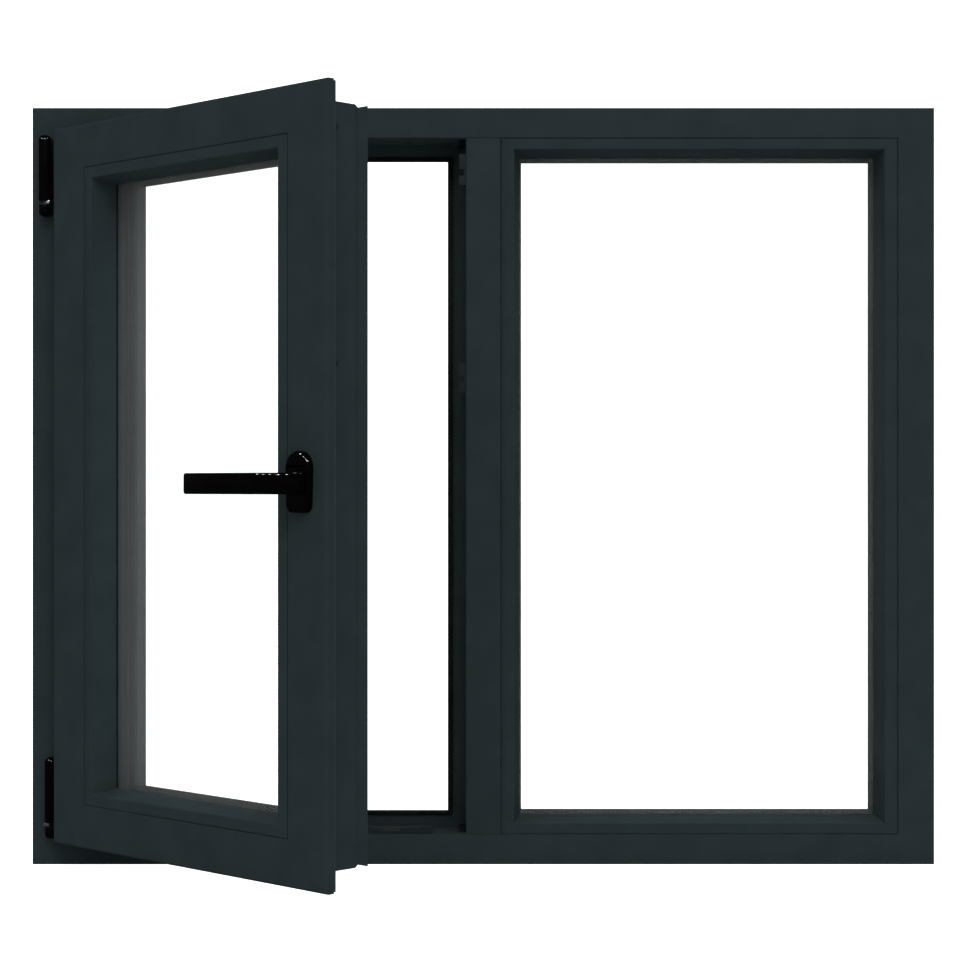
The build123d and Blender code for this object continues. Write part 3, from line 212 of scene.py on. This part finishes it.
# %% [markdown]
# **Anthracite PVC.** The profiles are extruded PVC-U with a smooth foil in a blue-black grey.
# Extruding leaves a satin face with a very soft ripple some 2 mm across, and the foil varies by a
# shade over some 45 mm. The real faces show no veil of light at a glancing angle, so the specular
# level is kept close to nothing.

# %% Anthracite PVC
anthracite_pvc = shaded("anthracite_foiled_pvc", "#293235", "#2D3639", grain=45 * MM,
                        bump=0.10, bump_grain=2.2 * MM, bump_depth=0.06 * MM,
                        rough=(0.62, 0.70), **{"Specular IOR Level": 0.004, "IOR": 1.52})

# %% [markdown]
# **EPDM seal.** Extruded rubber is a dead black with a dry, slightly dusty face, so it is rough and
# its colour wanders a little where dust has settled.

# %% EPDM rubber
epdm_rubber = shaded("extruded_epdm_rubber", "#0B0C0D", "#141617", grain=12 * MM,
                     bump=0.25, bump_grain=0.8 * MM, bump_depth=0.10 * MM,
                     rough=(0.66, 0.80), **{"Specular IOR Level": 0.03})

# %% [markdown]
# **Sash seal.** The seal behind the sash's flange is a softer rubber, extruded together with the
# profile and coloured to match it, so only a faint pale line shows where the two meet.

# %% Grey rubber
grey_rubber = shaded("profile_grey_rubber", "#2D363A", "#333C40", grain=12 * MM,
                     bump=0.20, bump_grain=0.8 * MM, bump_depth=0.10 * MM,
                     rough=(0.64, 0.76), **{"Specular IOR Level": 0.02})

# %% [markdown]
# **Black lacquer.** The handle and the hinge covers are gloss black: the handle is die-cast and
# lacquered, the covers are moulded ABS polished to match. A clear top coat gives the sharp white
# edge lights, and the faint orange peel of a sprayed coat, about 1.5 mm across, breaks them up.

# %% Gloss black lacquer and gloss black ABS
black_lacquer = shaded("gloss_black_lacquer", "#020202", "#040404", grain=30 * MM,
                       bump=0.03, bump_grain=1.5 * MM, bump_depth=0.05 * MM,
                       rough=(0.05, 0.08), **{"Specular IOR Level": 0.15})
black_abs = shaded("gloss_black_abs", "#030303", "#060606", grain=20 * MM,
                   bump=0.03, bump_grain=1.8 * MM, bump_depth=0.05 * MM,
                   rough=(0.14, 0.20), **{"Specular IOR Level": 0.10})

# %% [markdown]
# **Zinc-plated and galvanised steel.** Plated hardware is a cool, slightly cloudy metal with fine
# handling marks. Hot-dip galvanising has its own pattern: flat crystals called spangle, some 7 mm
# across, each a little lighter or darker, so a cell pattern drives its colour and roughness.

# %% Plated and galvanised steel
zinc_plate = shaded("zinc_plated_steel", "#8B8F94", "#A9ADB1", grain=6 * MM,
                    bump=0.12, bump_grain=0.6 * MM, bump_depth=0.05 * MM,
                    rough=(0.26, 0.40), **{"Metallic": 1.0})

SPANGLE = 7 * MM
galvanised, tree = new_material("galvanised_steel")
place = add(tree, "ShaderNodeTexCoord")
spangle = add(tree, "ShaderNodeTexVoronoi", {"Scale": 1 / SPANGLE}, {"Vector": (place, "Object")})
shade = add(tree, "ShaderNodeSeparateColor", links={"Color": (spangle, "Color")})
tone = add(tree, "ShaderNodeValToRGB", links={"Fac": (shade, "Red")})
tone.color_ramp.elements[0].color = linear("#83878B")
tone.color_ramp.elements[1].color = linear("#B4B8BB")
facet = add(tree, "ShaderNodeMapRange", {"To Min": 0.30, "To Max": 0.50},
            {"Value": (shade, "Green")})
surface = add(tree, "ShaderNodeBsdfPrincipled", {"Metallic": 1.0},
              {"Base Color": (tone, "Color"), "Roughness": (facet, "Result")})
add(tree, "ShaderNodeOutputMaterial", links={"Surface": (surface, "BSDF")})

# %% [markdown]
# **Coated zinc, nylon and composite.** Keeps and faceplates are die-cast zinc under a dark, fine
# powder coat. Setting blocks and the handle's base plate are moulded nylon. The spacer that holds
# the two panes apart is a warm-edge composite: extruded, matt and nearly the profiles' grey.

# %% Coated zinc, moulded nylon and the spacer's composite
coated_zinc = shaded("dark_powder_coated_zinc", "#1C2225", "#22292C", grain=10 * MM,
                     bump=0.20, bump_grain=0.7 * MM, bump_depth=0.06 * MM,
                     rough=(0.55, 0.65), **{"Specular IOR Level": 0.02})
moulded_nylon = shaded("moulded_black_nylon", "#101113", "#181A1C", grain=8 * MM,
                       bump=0.18, bump_grain=0.9 * MM, bump_depth=0.06 * MM,
                       rough=(0.50, 0.64), **{"Specular IOR Level": 0.04})
spacer_bar = shaded("warm_edge_composite", "#2C3437", "#343C40", grain=5 * MM,
                    bump=0.10, bump_grain=1.2 * MM, bump_depth=0.04 * MM,
                    rough=(0.58, 0.68), **{"Specular IOR Level": 0.05})

# %% [markdown]
# ** Float glass.** A clear pane shows as a mirror that is faint head on and strong at a glancing
# angle, with everything behind it showing through. A see-through shader mixed with a polished one
# does that and lets light pass. The share of mirror is Schlick's curve, worked out from how far a
# face turns from the eye, so the near and the far face of a pane mirror alike. Each face also
# carries a very small share of matt white, cloudy over some 150 mm, that whitens the dark things
# behind it. It is partly the film of dust on a pane in use, and partly a painted sheen that stands
# in for the pane's reflection of the bright room, which the nearly dark mirrored world leaves out.

# %% Clear float glass
HEAD_ON_MIRROR, SCHLICK_POWER = 0.03, 5.0
# Least and most share of matt white: partly dust, partly a painted sheen for the room's reflection.
LEAST_DUST_AND_SHEEN, MOST_DUST_AND_SHEEN, DUST_AND_SHEEN_CLOUD = 0.030, 0.042, 150 * MM
float_glass, tree = new_material("clear_float_glass")
place = add(tree, "ShaderNodeTexCoord")
cloud = add(tree, "ShaderNodeTexNoise", {"Scale": 1 / DUST_AND_SHEEN_CLOUD, "Detail": 1.0},
            {"Vector": (place, "Object")})
turned_away = add(tree, "ShaderNodeLayerWeight", {"Blend": 0.5})
curve = add(tree, "ShaderNodeMath", {"operation": "POWER"}, {"Value": (turned_away, "Facing")})
curve.inputs[1].default_value = SCHLICK_POWER
mirror_share = add(tree, "ShaderNodeMapRange", {"To Min": HEAD_ON_MIRROR, "To Max": 1.0},
                   {"Value": (curve, "Value")})
dust_and_sheen_share = add(tree, "ShaderNodeMapRange", {"To Min": LEAST_DUST_AND_SHEEN, "To Max": MOST_DUST_AND_SHEEN},
                 {"Value": (cloud, "Fac")})
through = add(tree, "ShaderNodeBsdfTransparent", {"Color": linear("#FDFFFE")})
polish = add(tree, "ShaderNodeBsdfGlossy", {"Roughness": 0.02, "Color": linear("#FFFFFF")})
# Matt white film: partly dust, partly a painted sheen in place of the pane's reflection of the
# room.
dust_and_sheen = add(tree, "ShaderNodeBsdfDiffuse", {"Color": linear("#F4F6F8")})
clear = add(tree, "ShaderNodeMixShader",
            links={0: (mirror_share, "Result"), 1: (through, "BSDF"), 2: (polish, "BSDF")})
dust_and_sheen_mix = add(tree, "ShaderNodeMixShader",
            links={0: (dust_and_sheen_share, "Result"), 1: (clear, "Shader"), 2: (dust_and_sheen, "BSDF")})
add(tree, "ShaderNodeOutputMaterial", links={"Surface": (dust_and_sheen_mix, "Shader")})
print("finishes", len(bpy.data.materials))

# %% [markdown]
# ## Profiles
#
# Frame, mullion, sash and bead members are long extrusions with mitred ends, and the working model
# already has their exact sections. What it lacks is the small round that every extruded and sawn
# edge has, which is what catches the light. So each member is a copy whose loose triangles are
# merged, whose flat faces are joined again, and whose long edges are then bevelled. The edges of
# the mitres are left sharp, so the two members meet in the hair line that a cleaned weld leaves on
# a real corner.

# %% Copy a member and soften its edges
DOUBLES = 0.005 * MM
SAME_PLANE = math.radians(0.4)
SHARP = math.radians(25.0)


def merged_copy(node):
    """A new object with a node's shape, its doubles merged and its flat triangles joined."""
    source = frame["nodes"][node]
    mesh = bpy.data.meshes.new(node + "_soft")
    mesh.from_pydata([v.co[:] for v in source.data.vertices], [],
                     [p.vertices[:] for p in source.data.polygons])
    piece = bpy.data.objects.new(node + "_soft", mesh)
    bpy.context.scene.collection.objects.link(piece)
    pick(piece)
    bpy.ops.object.mode_set(mode="EDIT")
    bpy.ops.mesh.select_all(action="SELECT")
    bpy.ops.mesh.remove_doubles(threshold=DOUBLES)
    bpy.ops.mesh.dissolve_limited(angle_limit=SAME_PLANE)
    bpy.ops.object.mode_set(mode="OBJECT")
    return piece


def sharp_edges(mesh, least=0.0):
    """Numbers of the edges, at least so long, where two faces meet at a sharp angle."""
    faces_at = {}
    for polygon in mesh.polygons:
        for key in polygon.edge_keys:
            faces_at.setdefault(key, []).append(polygon.normal.copy())
    chosen = set()
    for edge in mesh.edges:
        sides = faces_at.get(tuple(sorted(edge.vertices)), [])
        start, end = corners(mesh, edge)
        if (start - end).length >= least and len(sides) == 2:
            if sides[0].angle(sides[1], 0) > SHARP:
                chosen.add(edge.index)
    return chosen


def slants(mesh, edge):
    """Whether an edge runs neither level nor upright, as a mitre's does."""
    start, end = corners(mesh, edge)
    rise = abs((start - end).normalized().z)
    return 0.05 < rise < 0.95


def soften(node, body, radius, least):
    """A member whose edges of at least some length are rounded, apart from its mitres' edges."""
    piece = merged_copy(node)
    chosen = sharp_edges(piece.data, least)
    bpy.ops.object.mode_set(mode="EDIT")
    rounded = select_where(
        piece, "EDGE", lambda mesh, e: e.index in chosen and not slants(mesh, e))
    bpy.ops.mesh.bevel(offset=radius, segments=2, profile=0.5, clamp_overlap=True)
    bpy.ops.object.mode_set(mode="OBJECT")
    finish_shape(piece, node + "_soft", anthracite_pvc, body, [node], 40.0)
    print(piece.name, "edges rounded", rounded, "faces", len(piece.data.polygons))


# %% Frame, mullion and sash members
MEMBER_ROUND, SHORTEST_MEMBER_EDGE = 0.6 * MM, 40 * MM
for node in ("frame_head", "frame_sill", "frame_left_jamb", "frame_right_jamb", "mullion"):
    soften(node, "frame", MEMBER_ROUND, SHORTEST_MEMBER_EDGE)
for node in ("sash_top_rail", "sash_bottom_rail", "sash_hinge_stile", "sash_lock_stile"):
    soften(node, "sash", MEMBER_ROUND, SHORTEST_MEMBER_EDGE)

# %% Glazing beads
BEAD_ROUND, SHORTEST_BEAD_EDGE = 0.7 * MM, 12 * MM
for light, body in (("fixed", "frame"), ("sash", "sash")):
    for side in ("top", "bottom", "left", "right"):
        soften(f"{light}_bead_{side}", body, BEAD_ROUND, SHORTEST_BEAD_EDGE)

# %% [markdown]
# ## Hinge covers
#
# Each hinge hides under two moulded shells: a long cover over the bearing, and a short cap under
# the eye. Both are D-shaped, a half-round front on a flat back. A profile could be extruded, but a
# cylinder gives the exact arc at once: it is added at the front's radius and cut in half, and the
# flat cut is drawn back to the frame. A bevel then rounds the closed end, and a much smaller one
# takes the edge off the open end.

# %% D-shaped shells
OPEN_EDGE = 0.7 * MM
frame_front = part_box("frame_left_jamb")[0].y


def d_shell(name, centre, radius, depth, low, high, rounded_level, rounding, node):
    """A D-shaped column on the frame's front, well rounded at one level and eased at the other."""
    front_centre = frame_front - depth + radius
    open_level = low if rounded_level == high else high
    clear_selection()
    bpy.ops.mesh.primitive_cylinder_add(vertices=64, radius=radius, depth=high - low,
                                        location=(centre, front_centre, (low + high) / 2))
    piece = bpy.context.object
    bpy.ops.object.transform_apply(location=True, rotation=True, scale=True)
    bpy.ops.object.mode_set(mode="EDIT")
    bpy.ops.mesh.bisect(plane_co=(0, front_centre, 0), plane_no=(0, 1, 0), use_fill=True,
                        clear_outer=True)
    select_where(piece, "FACE", lambda mesh, f: f.normal.y > 0.99)
    bpy.ops.mesh.extrude_region_move(TRANSFORM_OT_translate={"value": (0, depth - radius, 0)})

    def rim_at(level):
        """A test for the edges of the end at a level, apart from the one along the flat back."""
        return lambda mesh, e: (
            all(abs(place.z - level) < HAIR for place in corners(mesh, e))
            and min(place.y for place in corners(mesh, e)) < frame_front - HAIR)

    select_where(piece, "EDGE", rim_at(rounded_level))
    bpy.ops.mesh.bevel(offset=rounding, segments=8, profile=0.5, clamp_overlap=False)
    select_where(piece, "EDGE", rim_at(open_level))
    bpy.ops.mesh.bevel(offset=OPEN_EDGE, segments=3, profile=0.5, clamp_overlap=False)
    turn_faces_out()
    finish_shape(piece, name, black_abs, "frame", [node], 50.0)
    print(name, "faces", len(piece.data.polygons))


COVER_RADIUS, COVER_DEPTH, COVER_LENGTH, COVER_ROUND = 8.6 * MM, 21.0 * MM, 85.0 * MM, 6.0 * MM
CAP_RADIUS, CAP_DEPTH, CAP_LENGTH, CAP_ROUND = 8.0 * MM, 20.4 * MM, 15.5 * MM, 5.0 * MM
covers_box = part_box("hinge_covers")
caps_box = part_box("hinge_caps")
tops = (covers_box[1].z, covers_box[0].z + COVER_LENGTH)
bottoms = (caps_box[1].z - CAP_LENGTH, caps_box[0].z)
centres = (covers_box[0].x + COVER_RADIUS, covers_box[1].x - COVER_RADIUS)
for word, centre, top, bottom in zip(("upper", "lower"), centres, tops, bottoms):
    d_shell(f"{word}_hinge_cover_shell", centre, COVER_RADIUS, COVER_DEPTH,
            top - COVER_LENGTH, top, top, COVER_ROUND, "hinge_covers")
    d_shell(f"{word}_hinge_cap_shell", centre, CAP_RADIUS, CAP_DEPTH,
            bottom, bottom + CAP_LENGTH, bottom, CAP_ROUND, "hinge_caps")

# %% [markdown]
# Between cover and cap a bright ring shows: the polished eye of the strap that carries the sash,
# turned with rounded edges. The rest of the strap is coated black. A copy of the strap has the
# eye's two rims bevelled, and its faces near the pin are given the plated finish.

# %% Straps with a bright eye
EYE_RADIUS, EYE_REACH, EYE_EDGE = 6.0 * MM, 6.3 * MM, 1.1 * MM
NEAR_ENOUGH = 0.1 * MM


def from_pin(point):
    """Level distance of a point from the hinge line."""
    return math.hypot(point.x - hinge_line.x, point.y - hinge_line.y)


for word in ("upper", "lower"):
    strap = merged_copy(f"{word}_hinge_strap")
    strap.data.materials.clear()
    rims = sharp_edges(strap.data)
    bpy.ops.object.mode_set(mode="EDIT")
    rim_edges = select_where(strap, "EDGE", lambda mesh, e: e.index in rims and all(
        abs(from_pin(place) - EYE_RADIUS) < NEAR_ENOUGH for place in corners(mesh, e)))
    bpy.ops.mesh.bevel(offset=EYE_EDGE, segments=4, profile=0.5, clamp_overlap=True)
    bpy.ops.object.mode_set(mode="OBJECT")
    finish_shape(strap, f"{word}_strap_soft", black_lacquer, "sash",
                 [f"{word}_hinge_strap"], 50.0)
    strap.data.materials.append(zinc_plate)
    bpy.ops.object.mode_set(mode="EDIT")
    bright = select_where(strap, "FACE", lambda mesh, f: all(
        from_pin(place) < EYE_REACH for place in corners(mesh, f)))
    strap.active_material_index = 1
    bpy.ops.object.material_slot_assign()
    bpy.ops.object.mode_set(mode="OBJECT")
    print(word, "eye rim edges", rim_edges, "bright faces", bright)

# %% [markdown]
# ## Handle
#
# The rosette is a moulded cover with a half-round head and a squarer foot. Modelling starts from a
# cylinder at the head's radius: it is cut in half, and the flat cut is drawn down to the foot and
# made a little narrower. The foot's two corners are bevelled round, and then the whole front rim.
# It is made on the shut sash, and its finished mesh is then turned with the sash.

# %% Rosette
pivot = next(joint for joint in frame["joints"] if joint["name"] == "handle_turn")
pivot_shut = OPEN_TO_SHUT @ Vector(pivot["pos_m"])
SASH_FRONT = pivot_shut.y
ROSETTE_WIDTH, ROSETTE_HEIGHT, ROSETTE_PROUD = 41.5 * MM, 71.8 * MM, 9.0 * MM
FOOT_NARROWER, FOOT_CORNER, RIM = 1.5 * MM, 9.5 * MM, 4.0 * MM
rosette_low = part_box("handle_rosette")[0].z
rosette_front = SASH_FRONT - ROSETTE_PROUD
head_centre = rosette_low + ROSETTE_HEIGHT - ROSETTE_WIDTH / 2
clear_selection()
bpy.ops.mesh.primitive_cylinder_add(
    vertices=96, radius=ROSETTE_WIDTH / 2, depth=ROSETTE_PROUD, rotation=(math.radians(90), 0, 0),
    location=(pivot_shut.x, SASH_FRONT - ROSETTE_PROUD / 2, head_centre))
rosette = bpy.context.object
bpy.ops.object.transform_apply(location=True, rotation=True, scale=True)
bpy.ops.object.mode_set(mode="EDIT")
bpy.ops.mesh.bisect(plane_co=(0, 0, head_centre), plane_no=(0, 0, 1), use_fill=True,
                    clear_inner=True)
select_where(rosette, "FACE", lambda mesh, f: f.normal.z < -0.99)
drop = head_centre - rosette_low
bpy.ops.mesh.extrude_region_move(TRANSFORM_OT_translate={"value": (0, 0, -drop)})
bpy.ops.transform.resize(value=(1 - 2 * FOOT_NARROWER / ROSETTE_WIDTH, 1, 1))


def foot_corner(mesh, edge):
    """Whether an edge is one of the foot's two, which run straight out from the sash."""
    start, end = corners(mesh, edge)
    at_foot = all(abs(place.z - rosette_low) < HAIR for place in (start, end))
    return at_foot and abs(start.x - end.x) < HAIR


foot_corners = select_where(rosette, "EDGE", foot_corner)
bpy.ops.mesh.bevel(offset=FOOT_CORNER, segments=10, profile=0.5, clamp_overlap=False)
rim_edges = select_where(rosette, "EDGE", lambda mesh, e: all(
    abs(place.y - rosette_front) < HAIR for place in corners(mesh, e)))
bpy.ops.mesh.bevel(offset=RIM, segments=6, profile=0.5, clamp_overlap=False)
turn_faces_out()
rosette.data.transform(SHUT_TO_OPEN)
finish_shape(rosette, "rosette_cover", black_lacquer, "sash",
             ["handle_rosette"], 50.0)
print("rosette foot corners", foot_corners, "rim edges", rim_edges)

# %% [markdown]
# The lever is one casting: it leaves the rosette wide, sweeps through a quarter turn and thins to
# the grip. A block is added for the foot of the neck. Its outer face is then extruded step by step
# round the bend: at each step the two corners on the outside of the bend and the two on the inside
# move to their own arcs, which is what lets the casting thin as it turns. The long edges are then
# bevelled in four steps, for the soft polished rims of a casting.

# %% Lever: its sizes and the two arcs of its bend
LEVER_LENGTH, LEVER_HEIGHT, LEVER_PROUD = 146.5 * MM, 25.0 * MM, 59.0 * MM
GRIP_THICK, LEVER_ROUND, FOOT_GAP = 13.0 * MM, 3.6 * MM, 0.4 * MM
NECK_HALF, OUTER_BEND, INNER_BEND, BEND_STEPS = 18.0 * MM, 38.0 * MM, 25.0 * MM, 10
reach = LEVER_PROUD - ROSETTE_PROUD
base_y = rosette_front - FOOT_GAP


def bend_point(side, step):
    """A corner's place (across, out from the rosette) at a step of its arc, outer or inner."""
    turned = math.radians(90) * step / BEND_STEPS
    radius = OUTER_BEND if side == "outer" else INNER_BEND
    half = NECK_HALF if side == "outer" else -NECK_HALF
    top = reach if side == "outer" else reach - GRIP_THICK
    middle = (half - radius, top - radius)
    return Vector((middle[0] + radius * math.cos(turned), middle[1] + radius * math.sin(turned)))


foot_out = bend_point("outer", 0).y
print("neck foot", round(foot_out / MM, 1), "mm out, grip ends", round(reach / MM, 1), "mm out")

# %% Lever: a block, extruded round the bend and along the grip
clear_selection()
bpy.ops.mesh.primitive_cube_add(
    size=1.0, location=(pivot_shut.x, base_y - foot_out / 2, pivot_shut.z))
lever = bpy.context.object
bpy.ops.transform.resize(value=(2 * NECK_HALF, foot_out, LEVER_HEIGHT))
bpy.ops.object.transform_apply(location=True, rotation=True, scale=True)
bpy.ops.object.mode_set(mode="EDIT")
corner = {"outer": Vector((NECK_HALF, foot_out)), "inner": Vector((-NECK_HALF, foot_out))}


def step_to(places):
    """Extrudes the end face and moves its outer and inner corner pairs to new places."""
    bpy.ops.mesh.extrude_region()
    bpy.ops.mesh.select_mode(type="VERT")
    bpy.ops.object.mode_set(mode="OBJECT")
    end = [v.index for v in lever.data.vertices if v.select]
    pairs = {"outer": [], "inner": []}
    for number in end:
        x, y, _ = lever.data.vertices[number].co
        spot = Vector((x - pivot_shut.x, base_y - y))
        nearest = min(pairs, key=lambda side: (spot - corner[side]).length)
        pairs[nearest].append(number)
    for side, numbers in pairs.items():
        shift = places[side] - corner[side]
        bpy.ops.object.mode_set(mode="EDIT")
        select_where(lever, "VERT", lambda mesh, v: v.index in numbers)
        bpy.ops.transform.translate(value=(shift.x, -shift.y, 0))
        bpy.ops.object.mode_set(mode="OBJECT")
        corner[side] = places[side]
    bpy.ops.object.mode_set(mode="EDIT")
    select_where(lever, "VERT", lambda mesh, v: v.index in end)
    bpy.ops.mesh.select_mode(type="FACE")


select_where(lever, "FACE", lambda mesh, f: f.normal.y < -0.99)
for step in range(1, BEND_STEPS + 1):
    step_to({side: bend_point(side, step) for side in ("outer", "inner")})
grip_start = bend_point("inner", BEND_STEPS).x
for share in (0.5, 1.0):
    across = grip_start + (-LEVER_LENGTH - grip_start) * share
    step_to({"outer": Vector((across, reach)), "inner": Vector((across, reach - GRIP_THICK))})
bpy.ops.object.mode_set(mode="OBJECT")
long_edges = sharp_edges(lever.data)
print("lever faces", len(lever.data.polygons), "sharp edges", len(long_edges))

# %% Lever: its soft rims
bpy.ops.object.mode_set(mode="EDIT")
select_where(lever, "EDGE", lambda mesh, e: e.index in long_edges)
bpy.ops.mesh.bevel(offset=LEVER_ROUND, segments=4, profile=0.5, clamp_overlap=True)
turn_faces_out()
lever.data.transform(SHUT_TO_OPEN)
finish_shape(lever, "lever", black_lacquer, "handle", ["handle_lever"], 60.0)
print("lever faces", len(lever.data.polygons))

# %% [markdown]
# ## Finishes of the nodes that keep their shape
#
# Panes, seals, keeps, screws and the parts inside are already right in shape, and some of them can
# only be seen with the sash open. They stay as they are and only take their real finish.

# %% Finishes by node
KEPT = {
    epdm_rubber: ("fixed_gaskets", "sash_gaskets", "frame_seal"),
    grey_rubber: ("sash_seal",),
    float_glass: ("fixed_pane_inner", "fixed_pane_outer", "sash_pane_inner", "sash_pane_outer"),
    spacer_bar: ("fixed_spacer", "sash_spacer"),
    galvanised: ("frame_reinforcement", "sash_reinforcement"),
    moulded_nylon: ("fixed_setting_blocks", "sash_setting_blocks", "rebate_corner_blocks",
                    "handle_base_plate"),
    coated_zinc: ("keep_middle", "keep_top", "keep_sill", "lock_faceplate", "bottom_faceplate",
                  "lock_cams", "bottom_cam", "sash_hardware_screws", "frame_hardware_screws"),
    zinc_plate: ("mullion_connectors", "mullion_screws", "hinge_pins",
                 "upper_hinge_bearing", "lower_hinge_bearing",
                 "corner_drive", "gearbox_case", "handle_screws", "handle_spindle",
                 "drive_pinion", "lock_rod", "bottom_rod"),
}
for material, nodes in KEPT.items():
    for node in nodes:
        mesh = frame["nodes"][node].data
        mesh.materials.clear()
        mesh.materials.append(material)
    print(material.name, "on", len(nodes), "nodes")

# %% [markdown]
# ## Stage, light and camera
#
# The window stands on a plain pale floor in an even white room. A floor that is only matt would
# show a grey horizon through the panes, so the camera also sees it glow, to meet the white of the
# room. Gloss mirrors a darker floor than the eye sees, as it would in a studio with a dark ground,
# and that keeps the undersides of the handle and the covers black.

# %% Floor
SEEN_WHITE, FLOOR_GLOW, FLOOR_SIDE = 1.7, 0.75, 60.0
clear_selection()
bpy.ops.mesh.primitive_plane_add(size=FLOOR_SIDE, location=(0, 0, 0))
floor = bpy.context.object
floor.name = "floor"
pale_floor, tree = new_material("pale_studio_floor")
path = add(tree, "ShaderNodeLightPath")
matt = add(tree, "ShaderNodeBsdfDiffuse", {"Color": linear("#D8D8D8")})
glow = add(tree, "ShaderNodeEmission",
           {"Color": linear("#FFFFFF"), "Strength": SEEN_WHITE * FLOOR_GLOW})
bright_floor = add(tree, "ShaderNodeAddShader", links={0: (matt, "BSDF"), 1: (glow, "Emission")})
mirrored_floor = add(tree, "ShaderNodeBsdfDiffuse", {"Color": linear("#3C3C3C")})
in_the_room = add(tree, "ShaderNodeMixShader",
                  links={0: (path, "Is Glossy Ray"), 1: (matt, "BSDF"),
                         2: (mirrored_floor, "BSDF")})
whole_floor = add(tree, "ShaderNodeMixShader",
                  links={0: (path, "Is Camera Ray"), 1: (in_the_room, "Shader"),
                         2: (bright_floor, "Shader")})
add(tree, "ShaderNodeOutputMaterial", links={"Surface": (whole_floor, "Shader")})
floor.data.materials.append(pale_floor)
print("floor side in metres", round(floor.dimensions.x, 1))

# %% [markdown]
# The room itself is the world. What the camera sees of it is pure white, what lights matt faces is
# softer, and what gloss mirrors is nearly dark, so the black lacquer stays black and takes its
# lights from lamps alone.

# %% Light from all round
LIT_WHITE, MIRRORED_WHITE = 0.80, 0.06
world = bpy.data.worlds.new("studio")
bpy.context.scene.world = world
world.use_nodes = True
tree = world.node_tree
tree.nodes.clear()
path = add(tree, "ShaderNodeLightPath")
seen, mirrored, lit = (
    add(tree, "ShaderNodeBackground", {"Color": linear("#FFFFFF"), "Strength": strength})
    for strength in (SEEN_WHITE, MIRRORED_WHITE, LIT_WHITE))
softer = add(tree, "ShaderNodeMixShader",
             links={0: (path, "Is Glossy Ray"), 1: (lit, "Background"),
                    2: (mirrored, "Background")})
both = add(tree, "ShaderNodeMixShader",
           links={0: (path, "Is Camera Ray"), 1: (softer, "Shader"), 2: (seen, "Background")})
add(tree, "ShaderNodeOutputWorld", links={"Surface": (both, "Shader")})
print("white seen, lit and mirrored", SEEN_WHITE, LIT_WHITE, MIRRORED_WHITE)

# %% [markdown]
# One lamp gives the light a direction, so that upright, level and sloping faces differ by a shade
# and the profile can be read. It is weak, above and in front, and wide enough for soft shadows.

# %% A soft lamp far away, above and in front
KEY_TILT, KEY_SWING, KEY_SPREAD, KEY_STRENGTH = 48, 10, 16, 0.6
clear_selection()
bpy.ops.object.light_add(
    type="SUN", rotation=(math.radians(KEY_TILT), 0, math.radians(KEY_SWING)))
key = bpy.context.object
key.name = "key"
key.data.energy = KEY_STRENGTH
key.data.angle = math.radians(KEY_SPREAD)
print("key lamp tilt in degrees", KEY_TILT)

# %% [markdown]
# Small soft boxes hang high, five in an arc on the room's side and one behind, seen only in
# polished things. They draw the short white lights on the rosette's rim and the thin one along the
# lever's top edge, and leave the matt faces as they are.

# %% Soft boxes, for gloss alone
RING_RADIUS, RING_HEIGHT = 2.1, 2.5
BEARINGS = (-170, -140, -110, -75, -40, 80)
BOX_WIDTH, BOX_HEIGHT, BOX_POWER = 0.26, 0.20, 60
handle_spot = Vector((-0.25, -0.35, 0.5))
for number, bearing in enumerate(BEARINGS):
    turn_to = math.radians(bearing)
    spot = Vector((handle_spot.x + RING_RADIUS * math.cos(turn_to),
                   handle_spot.y + RING_RADIUS * math.sin(turn_to), RING_HEIGHT))
    facing = (handle_spot - spot).to_track_quat("-Z", "Y").to_euler()
    clear_selection()
    bpy.ops.object.light_add(type="AREA", location=spot, rotation=facing)
    soft_box = bpy.context.object
    soft_box.name = f"soft_box_{number}"
    soft_box.data.shape = "RECTANGLE"
    soft_box.data.size = BOX_WIDTH
    soft_box.data.size_y = BOX_HEIGHT
    soft_box.data.energy = BOX_POWER
    soft_box.visible_diffuse = False
    soft_box.visible_camera = False
    soft_box.visible_transmission = False
print("soft boxes", len(BEARINGS))

# %% [markdown]
# The camera stands level and square to the frame, about two and a half window widths away, so
# uprights stay upright and only the open sash shows perspective. The plain view transform keeps the
# finishes' colours as they were chosen.

# %% Camera
CAMERA_DISTANCE, EYE_LEVEL = 2.988, 0.5
LENS, SENSOR = 84.75, 36.0
SHIFT_ACROSS, SHIFT_UP = -0.0035, 0.0064
bpy.ops.object.camera_add(location=(0, 0, 0), rotation=(math.radians(90), 0, 0))
camera = bpy.context.object
camera.name = "camera"
room_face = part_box("frame_head")[0].y
camera.location = (0, room_face - CAMERA_DISTANCE, EYE_LEVEL)
camera.data.lens = LENS
camera.data.sensor_width = SENSOR
camera.data.shift_x = SHIFT_ACROSS
camera.data.shift_y = SHIFT_UP
bpy.context.scene.camera = camera
bpy.context.scene.view_settings.view_transform = "Standard"
print("camera at", [round(value, 3) for value in camera.location])
